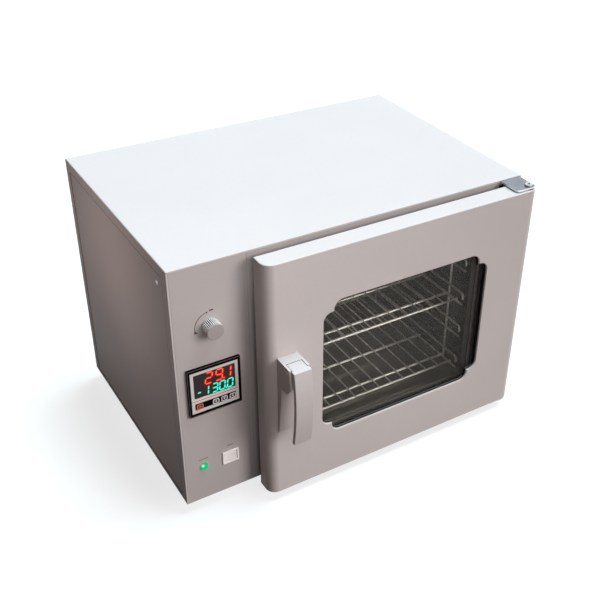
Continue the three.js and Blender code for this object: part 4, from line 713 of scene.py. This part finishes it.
def make_liner():
    """A steel box with rounded corners, a flange round its mouth, and holes for the parts in its walls."""
    low, high = span("chamber_liner")
    flange, sheet = 7, 1
    inner_low = (low.x + flange, low.y, low.z + flange)
    inner_high = (high.x - flange, high.y - sheet, high.z - flange)
    liner = block("liner_box", inner_low, inner_high)
    remove_faces(liner, lambda centre, normal: normal.y < -0.9)
    round_edges(liner, runs_along(1), 12, 10)
    choose(liner, "EDGE", lambda a, b: max(a.y, b.y) < low.y + TOUCH)
    bpy.ops.mesh.extrude_edges_move()
    centre = at(*[(a + b) / 2 for a, b in zip(inner_low, inner_high)])
    width, height = inner_high[0] - inner_low[0], inner_high[2] - inner_low[2]
    bpy.ops.transform.resize(
        value=((width + 2 * flange) / width, 1, (height + 2 * flange) / height), center_override=centre)
    close_edit()
    modify(liner, "SOLIDIFY", thickness=sheet * MM, offset=1)
    carve(liner, rod("vent", (WINDOW_X, 290, 288), (WINDOW_X, 310, 288), 12.3, 32))
    # The heater's legs, the fan's shaft and the probe, through the left wall
    holes = (("leg", 135.8, 102.2, 3.5), ("leg", 164.2, 102.2, 3.5),
             ("shaft", SHAFT_Y, SHAFT_Z, 4.7), ("probe", 56, 286, 3.3))
    for name, y, z, radius in holes:
        carve(liner, rod(name, (150, y, z), (170, y, z), radius, 20))
    smooth(liner)
    fit(liner, "root", liner_steel, "stainless", "chamber_liner")


def make_shelf(node, body, level):
    """Six rails from side to side, and thirteen thinner wires from front to back on top of them."""
    low, high = span(node)
    front, depth = low.y + 3, 264
    rail = rod("rail", (low.x, front, level), (high.x, front, level), 2.1, 14)
    wires = [rail] + [again(rail, (0, share * depth, 0)) for share in (1 / 12, 1 / 3, 2 / 3, 11 / 12, 1)]
    count, pitch, top = 13, 23.4, level + 3.1
    first = WINDOW_X - (count - 1) / 2 * pitch
    wire = rod("wire", (first, low.y, top), (first, high.y, top), 1.25, 12)
    wires += [wire] + [again(wire, (i * pitch, 0, 0)) for i in range(1, count)]
    shelf = gather(wires, f"{node}_wires")
    soften(shelf, 0.4, 1, 60)
    smooth(shelf, 50)
    fit(shelf, body, wire_steel, "bright_wire", node)


def make_rack(node, x, wall, side):
    """Two posts, four bent runners for shelves, and the studs that hold the rack off the chamber's wall.

    The side is -1 for the left one and 1 for the right one."""
    post_x, post_y, spread = x + side * 3, 45, 210
    post = rod("post", (post_x, post_y, 57.5), (post_x, post_y, 300), 2, 14)
    front, back, low, high, bend = 7, 287, SHELF_LEVEL - 4.7, SHELF_LEVEL + 16, 5
    path = [(front, low), (back, low)]
    path += arc((back, low + bend), bend, -90, 0, 5)[1:]
    path += arc((back, high - bend), bend, 0, 90, 5)
    path += arc((front + bend, high - bend), bend, 90, 180, 5)
    path += [(front, high - 2 * bend)]
    runner = bent_wire("runner", [(x, y, z) for y, z in path], 2)
    stud = rod("stud", (post_x, post_y, 71.5), (wall - side * 0.3, post_y, 71.5), 3, 16)
    wires = [post, again(post, (0, spread, 0)), runner, stud]
    wires += [again(runner, (0, 0, level * RUNNER_PITCH)) for level in (1, 2, 3)]
    wires += [again(stud, (0, y, level * RUNNER_PITCH)) for y, level in ((spread, 0), (0, 3), (spread, 3))]
    rack = gather(wires, f"{node}_wires")
    smooth(rack, 50)
    fit(rack, "root", wire_steel, "bright_wire", node)


# Cabinet

# The opening for the service panel in the left side: its front and back, and its bottom and top
SERVICE_Y, SERVICE_Z = (17, 374), (5, 382)


def make_shell():
    """One sheet, folded over the top and both sides, with the opening for the service panel."""
    low, high = span("cabinet_shell")
    shell = block("shell_sheet", low, high)
    remove_faces(shell, lambda centre, normal: abs(normal.y) > 0.9 or normal.z < -0.9)
    round_edges(shell, lambda a, b: min(a.z, b.z) > high.z - TOUCH and abs(a.x - b.x) < TOUCH, 1.8, 4)
    modify(shell, "SOLIDIFY", thickness=2.4 * MM, offset=-1)
    window = block("service_window", (-5, SERVICE_Y[0], SERVICE_Z[0]), (6, SERVICE_Y[1], SERVICE_Z[1]))
    round_edges(window, runs_along(0), 3, 4)
    carve(shell, window)
    soften(shell, 0.4, 2, 60)
    smooth(shell)
    fit(shell, "root", paint, "grey_paint", "cabinet_shell")


def make_painted_service_shade():
    """A dark strip in the gap round the service panel, as painted shade."""
    gap, inner = 0.1, 1.5
    (front, back), (bottom, top) = SERVICE_Y, SERVICE_Z
    strip = block("painted_service_shade", (0.4, front + gap, bottom + gap), (2.6, back - gap, top - gap))
    carve(strip, block("hole", (0, front + inner, bottom + inner), (4, back - inner, top - inner)))
    fit(strip, "root", rubber, "black_rubber")


def pan_screw(name, x, y, z, towards):
    """A pan-head screw with a cross recess, its head standing out from a face."""
    reach = 3.4
    screw = turned(name, [
        (0, 0), (reach, 0), (reach - 0.1, 0.6), (reach - 0.8, 1.3), (reach - 2, 1.6), (0, 1.65),
    ], (x, y, z), towards, 28)
    out = Vector(towards)
    for along in (Vector((0, 0, 1)), Vector((out.y, out.x, 0))):
        across = out.cross(along)
        centre = Vector((x, y, z)) + out * 1.75
        half = along * 1.8 + across * 0.35 + out * 0.75
        half = Vector([abs(value) for value in half])
        carve(screw, block("cross", centre - half, centre + half))
    smooth(screw)
    return screw


def make_screws():
    """One screw in the service panel's front corner, and those round the back panel."""
    face = span("service_panel")[0].x
    fit(pan_screw("service_screw", face, 34, 366, (-1, 0, 0)), "root", bolt_steel, "zinc_plate")
    top = span("back_panel")[1].z - 12
    places = [(x, z) for x in (14, 200, 380, 566) for z in (12, top)]
    places += [(x, z) for x in (14, 566) for z in (140, 262)]
    (first_x, first_z), *rest = places
    first = pan_screw("back_screw", first_x, back_face(), first_z, (0, 1, 0))
    screws = [first] + [again(first, (x - first_x, 0, z - first_z)) for x, z in rest]
    for i, screw in enumerate(screws, 1):
        screw.name = screw.data.name = f"back_screw_{i}"
        fit(screw, "root", zinc, "zinc_plate")


def back_face():
    """Where the back panel's plain face lies, beside its louvres."""
    places = [vertex.co - CORNER for vertex in NODES["back_panel"].data.vertices]
    return max(round(place.y / MM, 2) for place in places if place.x / MM < 20)


# Controls

def make_knob():
    """A core painted near black as shade between the ribs, with a ring of ribs painted pale as lit from
    above, held between a foot and a face.
    """
    x, _, z = middle("speed_knob")
    low, high = span("speed_knob")
    back, depth, radius = (x, high.y, z), high.y - low.y, 12.2
    core = turned("knob_core", [(0, 0), (11.3, 0), (11.3, depth - 1.6), (0, depth - 1.6)], back, FORWARD)
    smooth(core)
    fit(core, "knob", groove_painted_shade, "grey_plastic")
    count, half = 30, 2.2
    outline = arc((x, z), radius, -half, half, 2) + arc((x, z), 11.1, half, -half, 2)
    rib = prism("rib", [(u, high.y - 0.4, v) for u, v in outline], (0, 2.1 - depth, 0))
    axis = Matrix.Translation(at(x, 0, z))
    turns = [axis @ Matrix.Rotation(math.radians(360 / count * i), 4, "Y") @ axis.inverted()
             for i in range(1, count)]
    ribs = [rib] + [again(rib, turn) for turn in turns]
    face = turned("face", [
        (0, depth - 1.8), (11.8, depth - 1.8), (radius, depth - 1.5), (radius, depth - 0.9),
        (12.05, depth - 0.4), (11.7, depth - 0.1), (11.2, depth), (0, depth),
    ], back, FORWARD, 64)
    foot = turned("foot", [(0, 0), (radius, 0), (radius, 1.1), (11.8, 1.4), (0, 1.4)], back, FORWARD, 64)
    knob = gather([face, foot], "fan_speed_knob")
    smooth(knob, 30)
    fit(knob, "knob", knob_grey, "grey_plastic", "speed_knob")
    grip = gather(ribs, "knob_ribs")
    smooth(grip, 30)
    fit(grip, "knob", rib_painted_highlight, "grey_plastic")


def make_panel_marks():
    """The knob's printed scale with a dot at each end, and four short printed dashes on the panel."""
    x, _, z = middle("speed_knob")
    scale_radius, line_radius, dot_radius, sunk = 21.9, 0.42, 1.25, 0.1
    scale = [(u, -0.1, v) for u, v in arc((x, z), scale_radius, 100, 190, 18)]
    marks = [bent_wire("scale", scale, line_radius)]
    for u, _, v in (scale[0], scale[-1]):
        marks.append(rod("dot", (u, sunk, v), (u, -0.25, v), dot_radius, 20))
    for left, bottom, right, top in ((54.8, 323.4, 60.2, 325.5), (31.2, 294, 36.2, 295.6),
                                     (23.2, 75.2, 37.3, 76), (68, 82.9, 78.3, 83.9)):
        marks.append(block("dash", (left, -0.15, bottom), (right, sunk, top)))
    fit(gather(marks, "panel_marks"), "root", ink, "black_plastic")


SEGMENTS = {"0": "abcdef", "1": "bc", "2": "abged", "3": "abgcd", "9": "abcdfg", "-": "g"}
# The layers of a lit digit: its name, its thickness as a share of the height, and how far it stands out
# The halo is painted glow round the bars, and the cores are a painted highlight along their middles
LAYERS = (("halo", 0.28, 0.04), ("bars", 0.135, 0.09), ("cores", 0.05, 0.12))


def digit(mark, left, foot, width, height, front, share, proud):
    """The lit bars of one seven-bar digit, each a thin slanted hexagon."""
    slant = 0.1
    thick = height * share
    half = height / 2
    inset = height * 0.08
    bars = {
        "a": ((inset, height), (width - inset, height)), "g": ((inset, half), (width - inset, half)),
        "d": ((inset, 0), (width - inset, 0)), "f": ((0, half + inset), (0, height - inset)),
        "b": ((width, half + inset), (width, height - inset)), "e": ((0, inset), (0, half - inset)),
        "c": ((width, inset), (width, half - inset)),
    }
    made = []
    for name in SEGMENTS[mark]:
        (u0, v0), (u1, v1) = bars[name]
        along = Vector((u1 - u0, v1 - v0)).normalized() * thick / 2
        across = Vector((-along.y, along.x))
        start, end, tip = Vector((u0, v0)), Vector((u1, v1)), along * 0.6
        outline = [start - tip, start + across, end + across, end + tip, end - across, start - across]
        places = [(left + p.x + slant * p.y, front, foot + p.y) for p in outline]
        made.append(prism("bar", places, (0, -proud, 0)))
    return made


def glowing_number(name, marks, foot, height, point, front, materials):
    """Digits in three layers: a dim halo of painted glow, the bars, and their cores, a painted highlight.
    Marks are (mark, left, width).
    """
    for (layer, share, proud), material in zip(LAYERS, materials):
        bars = []
        for mark, left, width in marks:
            bars += digit(mark, left, foot, width, height, front, share, proud)
        size = height * share * 0.6
        bars.append(rod("point", (point, front, foot + 0.6), (point, front - proud, foot + 0.6), size, 16))
        fit(gather(bars, f"{name}_{layer}"), "root", material, "dark_lens")


def make_controller_trim():
    """The bezel's pale rim, a painted highlight, the lit numbers of the display, and on the face a pale band,
    also a painted highlight, with a printed line along it.
    """
    low, high = span("controller_case")
    centre, half, width = 200.5, 39.5, 0.5
    inner = half - width
    rim = block("rim", (low.x, low.y - 0.05, centre - half), (high.x, low.y + 0.6, centre + half))
    hole_low = (low.x + width, low.y - 2, centre - inner)
    carve(rim, block("hole", hole_low, (high.x - width, low.y + 2, centre + inner)))
    fit(rim, "root", bezel_painted_highlight, "black_plastic")
    front = span("display_window")[0].y
    reading = [("2", 40.2, 9.6), ("9", 55.7, 9.6), ("1", 68.2, 9.6)]
    glowing_number("reading", reading, foot=210.6, height=17.8, point=68.1, front=front,
                   materials=(red_halo, red_light, red_core))
    setting = [("-", 27, 6), ("1", 35.8, 7.8), ("3", 49.6, 7.8), ("0", 60.6, 7.8), ("0", 72.4, 7.8)]
    glowing_number("setting", setting, foot=192.7, height=14, point=71.1, front=front,
                   materials=(green_halo, green_light, green_core))
    face_front = span("controller_face")[0].y
    # A pale band, a painted highlight, and the printed line along its middle
    for name, bottom, top, proud, radius, material in (
        ("face_band", 184.8, 188.4, 0.05, 0.02, band_painted_highlight), ("face_line", 186, 187.3, 0.1, 0.03, orange_line),
    ):
        strip = block(name, (18.4, face_front - proud, bottom), (89.6, face_front + 0.1, top))
        soften(strip, radius)
        fit(strip, "root", material, "grey_plastic")


def make_key_marks():
    """The printed marks of the four keys, a square and three arrows, each in a frame. The first key's mark
    glows, as painted light.
    """
    marks = {1: [(-1.7, -1), (1.7, -1), (1.7, 0.9), (-1.7, 0.9)], 2: [(-1.9, 0.3), (0.9, -1.6), (0.9, 2.1)],
             3: [(0, -1.6), (1.9, 1.4), (-1.9, 1.4)], 4: [(0, 2), (-1.9, -1), (1.9, -1)]}
    centres = {i: middle(f"controller_key_{i}")[0] for i in marks}
    first, front, level = centres[1], span("controller_key_1")[0].y, middle("controller_key_1")[2]
    wide, tall, line = 4.7, 4.1, 1.2
    ring = block("ring", (first - wide, front - 0.08, level - tall),
                 (first + wide, front + 0.1, level + tall))
    wide, tall = wide - line, tall - line
    hole = block("hole", (first - wide, front - 2, level - tall), (first + wide, front + 2, level + tall))
    for part, radius in ((ring, 1.8), (hole, 1)):
        round_edges(part, runs_along(1), radius, 4)
    carve(ring, hole)
    rings = {i: again(ring, (centres[i] - first, 0, 0)) for i in (2, 3, 4)} | {1: ring}
    for i, outline in marks.items():
        places = [(centres[i] + u, front + 0.05, level + v) for u, v in outline]
        mark = gather([rings[i], prism("arrow", places, (0, -0.13, 0))], f"key_mark_{i}")
        fit(mark, f"key_{i}", orange_key_glow if i == 1 else light_ink, "grey_plastic")


def make_lamp():
    """The pilot lamp's dome."""
    x, _, z = middle("lamp_lens")
    radius, height = 6.2, 5.2
    angles = [math.radians(a) for a in range(0, 90, 9)]
    dome = [(radius * math.cos(a), height * math.sin(a)) for a in angles]
    lens = turned("lamp_dome", [(0, 0)] + dome + [(0, height)], (x, span("lamp_lens")[1].y, z), FORWARD)
    smooth(lens)
    fit(lens, "root", lens_green, "green_lens", "lamp_lens")


# The whole oven

make_shell()
make_painted_service_shade()
make_screws()
make_door_skin()
make_gasket()
make_hinges()
make_painted_hinge_shadow()
make_liner()
make_shelf("lower_shelf", "shelf_low", SHELF_LEVEL)
make_shelf("upper_shelf", "shelf_high", SHELF_LEVEL + 2 * RUNNER_PITCH)
make_rack("left_rack", 202.5, 196.5, -1)
make_rack("right_rack", 495.5, 501.5, 1)
make_knob()
make_panel_marks()
make_controller_trim()
make_key_marks()
make_lamp()

# Copies of CAD nodes with softened edges: the node, the copy's name, its body, radius, steps, finish and slot
for node, name, body, radius, steps, material, slot in (
    ("handle_block", "handle_base", "door", 0.9, 3, handle_paint, "grey_paint"),
    ("pull_lever", "pull_grip", "lever", 0.9, 3, handle_paint, "grey_paint"),
    ("controller_case", "controller_shell", "root", 0.35, 2, black_case, "black_plastic"),
    ("controller_face", "controller_front", "root", 0.2, 2, face_grey, "grey_plastic"),
    ("display_window", "display_pane", "root", 0.15, 2, smoked, "dark_lens"),
    *((f"controller_key_{i}", f"key_cap_{i}", f"key_{i}", 0.35, 3, key_black, "grey_plastic")
      for i in (1, 2, 3, 4)),
    ("switch_housing", "switch_frame", "root", 0.5, 3, white_gloss, "white_plastic"),
    ("switch_rocker", "rocker_cap", "rocker", 0.5, 3, white_gloss, "white_plastic"),
    ("service_panel", "service_panel_finished", "root", 0.4, 2, paint, "grey_paint"),
    ("exhaust_cap", "exhaust_cap_finished", "root", 0.5, 2, black_case, "black_plastic"),
    ("mains_inlet", "mains_inlet_finished", "root", 0.4, 2, black_case, "black_plastic"),
    *((f"foot_{end}_{side}", f"foot_{end}_{side}_finished", "root", 0.8, 2, rubber, "black_rubber")
      for end in ("front", "rear") for side in ("left", "right")),
    ("strike_pocket", "strike_pocket_finished", "root", 0.3, 2, zinc, "zinc_plate"),
    ("glass_frame", "glass_frame_finished", "door", 0.4, 2, frame_steel_shaded, "zinc_plate"),
    ("back_panel", "back_panel_finished", "root", 0.3, 2, paint, "grey_paint"),
):
    fit(refined(node, name, radius, steps), body, material, slot, node)

# CAD nodes that show as they are
for node, material in {
    "control_panel": column_paint_shaded, "front_frame": frame_paint_shaded, "door_inner_panel": paint, "base_tray": zinc,
    "duct_baffle": baffle_steel, "fan_wheel": baffle_steel, "temperature_probe": baffle_steel,
    "exhaust_pipe": baffle_steel, "insulation_jacket": wool, "door_insulation": wool,
    "heater_element": heater_sheath, "motor_shaft": zinc, "fan_motor": zinc, "motor_bracket": zinc,
    "lever_pin": zinc, "speed_control": zinc, "knob_spindle": brass, "upper_hinge_bush": brass,
    "lower_hinge_bush": brass, "heater_relay": black_case, "lamp_body": black_case,
    "terminal_block": white_gloss, "outer_glass": pane, "inner_glass": pane, "door_seal": silicone,
}.items():
    paint_node(node, material)


# Floor, light and camera

def seen_directly(finish):
    """1 where the camera, a mirror or glass looks, and 0 for the light that bounces off."""
    camera, mirror, glass = [
        finish.node("ShaderNodeLightPath", output=f"Is {kind} Ray")
        for kind in ("Camera", "Glossy", "Transmission")
    ]
    return camera + mirror + glass


def make_floor():
    """A wide floor, pale where it is seen. It sends almost no light back onto the oven."""
    width, drop = 60, 0.0002
    bpy.ops.object.select_all(action="DESELECT")
    bpy.ops.mesh.primitive_plane_add(size=1)
    floor = named("studio_floor")
    floor.data.transform(Matrix.Translation((0, 0, -drop)) @ Matrix.Diagonal((width, width, 1, 1)))
    finish = Finish("studio_floor")
    seen = seen_directly(finish)
    finish.surface(
        Base_Color=finish.blend(seen, (0.018, 0.012, 0.01, 1), (0.3, 0.3, 0.3, 1)), Roughness=0.9,
        Specular_IOR_Level=0.0, Emission_Strength=1.0,
        Emission_Color=finish.blend(seen, (0, 0, 0, 1), (0.72, 0.72, 0.72, 1)),
    )
    floor.data.materials.append(finish.material)


def make_world():
    """White where it is seen, and otherwise a faint warm light from all round."""
    world = bpy.context.scene.world or bpy.data.worlds.new("studio")
    bpy.context.scene.world = world
    sky = Finish("studio", world)
    colour = sky.blend(seen_directly(sky), (0.028, 0.018, 0.015, 1), (1, 1, 1, 1))
    sky.feed(sky.tree.nodes["Background"].inputs["Color"], colour)


def hang(name, data, towards, place=(0, 0, 0)):
    """Puts a light at a place, turned to shine along a direction. The camera doesn't see the lamps."""
    light = bpy.data.objects.new(name, data)
    light.visible_camera = data.type == "SUN"
    light.location = place
    light.rotation_euler = Vector(towards).to_track_quat("-Z", "Y").to_euler()
    bpy.context.scene.collection.objects.link(light)


def sunlight(name, source, level, softness, colour=(1, 1, 1)):
    """Even light from one direction. At level 1 a surface that faces it renders in its own colour."""
    data = bpy.data.lights.new(name, "SUN")
    data.energy = level * math.pi
    data.angle = math.radians(softness)
    data.color = colour
    hang(name, data, -Vector(source))


def lamp(name, place, target, size, watts, colour=(1, 1, 1)):
    """A soft square lamp that faces a place."""
    data = bpy.data.lights.new(name, "AREA")
    data.size = size
    data.energy = watts
    data.color = colour
    hang(name, data, Vector(target) - Vector(place), place)


def spot(name, place, target, width, watts):
    """A round lamp with a soft-edged beam of some degrees, that shines through the window."""
    data = bpy.data.lights.new(name, "SPOT")
    data.spot_size = math.radians(width)
    data.spot_blend = 1
    data.shadow_soft_size = 0.03
    data.energy = watts
    hang(name, data, Vector(target) - Vector(place), place)


def make_camera():
    """The photograph's own viewpoint, found from the cabinet's edges."""
    turn, tilt, roll = (math.radians(angle) for angle in (-33.78, 32.97, 2.06))
    forward = Vector((-math.sin(turn) * math.cos(tilt), math.cos(turn) * math.cos(tilt), -math.sin(tilt)))
    right = Vector((math.cos(turn), math.sin(turn), 0))
    up = right.cross(forward)
    level = right * math.cos(roll) + up * math.sin(roll)
    upright = up * math.cos(roll) - right * math.sin(roll)
    data = bpy.data.cameras.new("camera")
    # The picture's size, the focal length and the place it centres on, all in its pixels
    size, focal, centre_x, centre_y = 600, 924.4, 356.6, 300.4
    data.sensor_width = 36
    data.lens = data.sensor_width * focal / size
    data.shift_x = (size / 2 - centre_x) / size
    data.shift_y = (centre_y - size / 2) / size
    data.clip_end = 50
    camera = bpy.data.objects.new("camera", data)
    matrix = Matrix((level, upright, -forward)).transposed().to_4x4()
    matrix.translation = at(-342.9, -939.8, 998.4)
    camera.matrix_world = matrix
    bpy.context.scene.collection.objects.link(camera)
    bpy.context.scene.camera = camera


make_floor()
make_world()
sunlight("top_light", (0.32, -0.02, 0.945), level=1.32, softness=30, colour=(0.79, 1, 1.09))
sunlight("front_light", (0.5, -0.8, 0.4), level=0.575, softness=30, colour=(1.03, 1, 0.99))
sunlight("back_light", (0.6, 0.7, 0.35), level=0.4, softness=50)
lamp("bench_light", (-0.3, -0.75, 0.7), (-0.05, -0.1, 0.25), size=0.4, watts=1.55, colour=(1.03, 1, 0.98))
lamp("side_light", (-0.55, 0.06, 0.35), (-0.29, 0.14, 0.42), size=0.2, watts=0.205, colour=(1.17, 0.96, 0.9))
lamp("low_light", (0.16, -0.68, 0.08), (0.03, -0.24, 0.09), size=0.3, watts=0.38)
spot("window_light", (-0.15, -0.9, 0.8), (0.079, 0.005, 0.08), width=9, watts=22)
make_camera()
bpy.context.scene.view_settings.view_transform = "Standard"
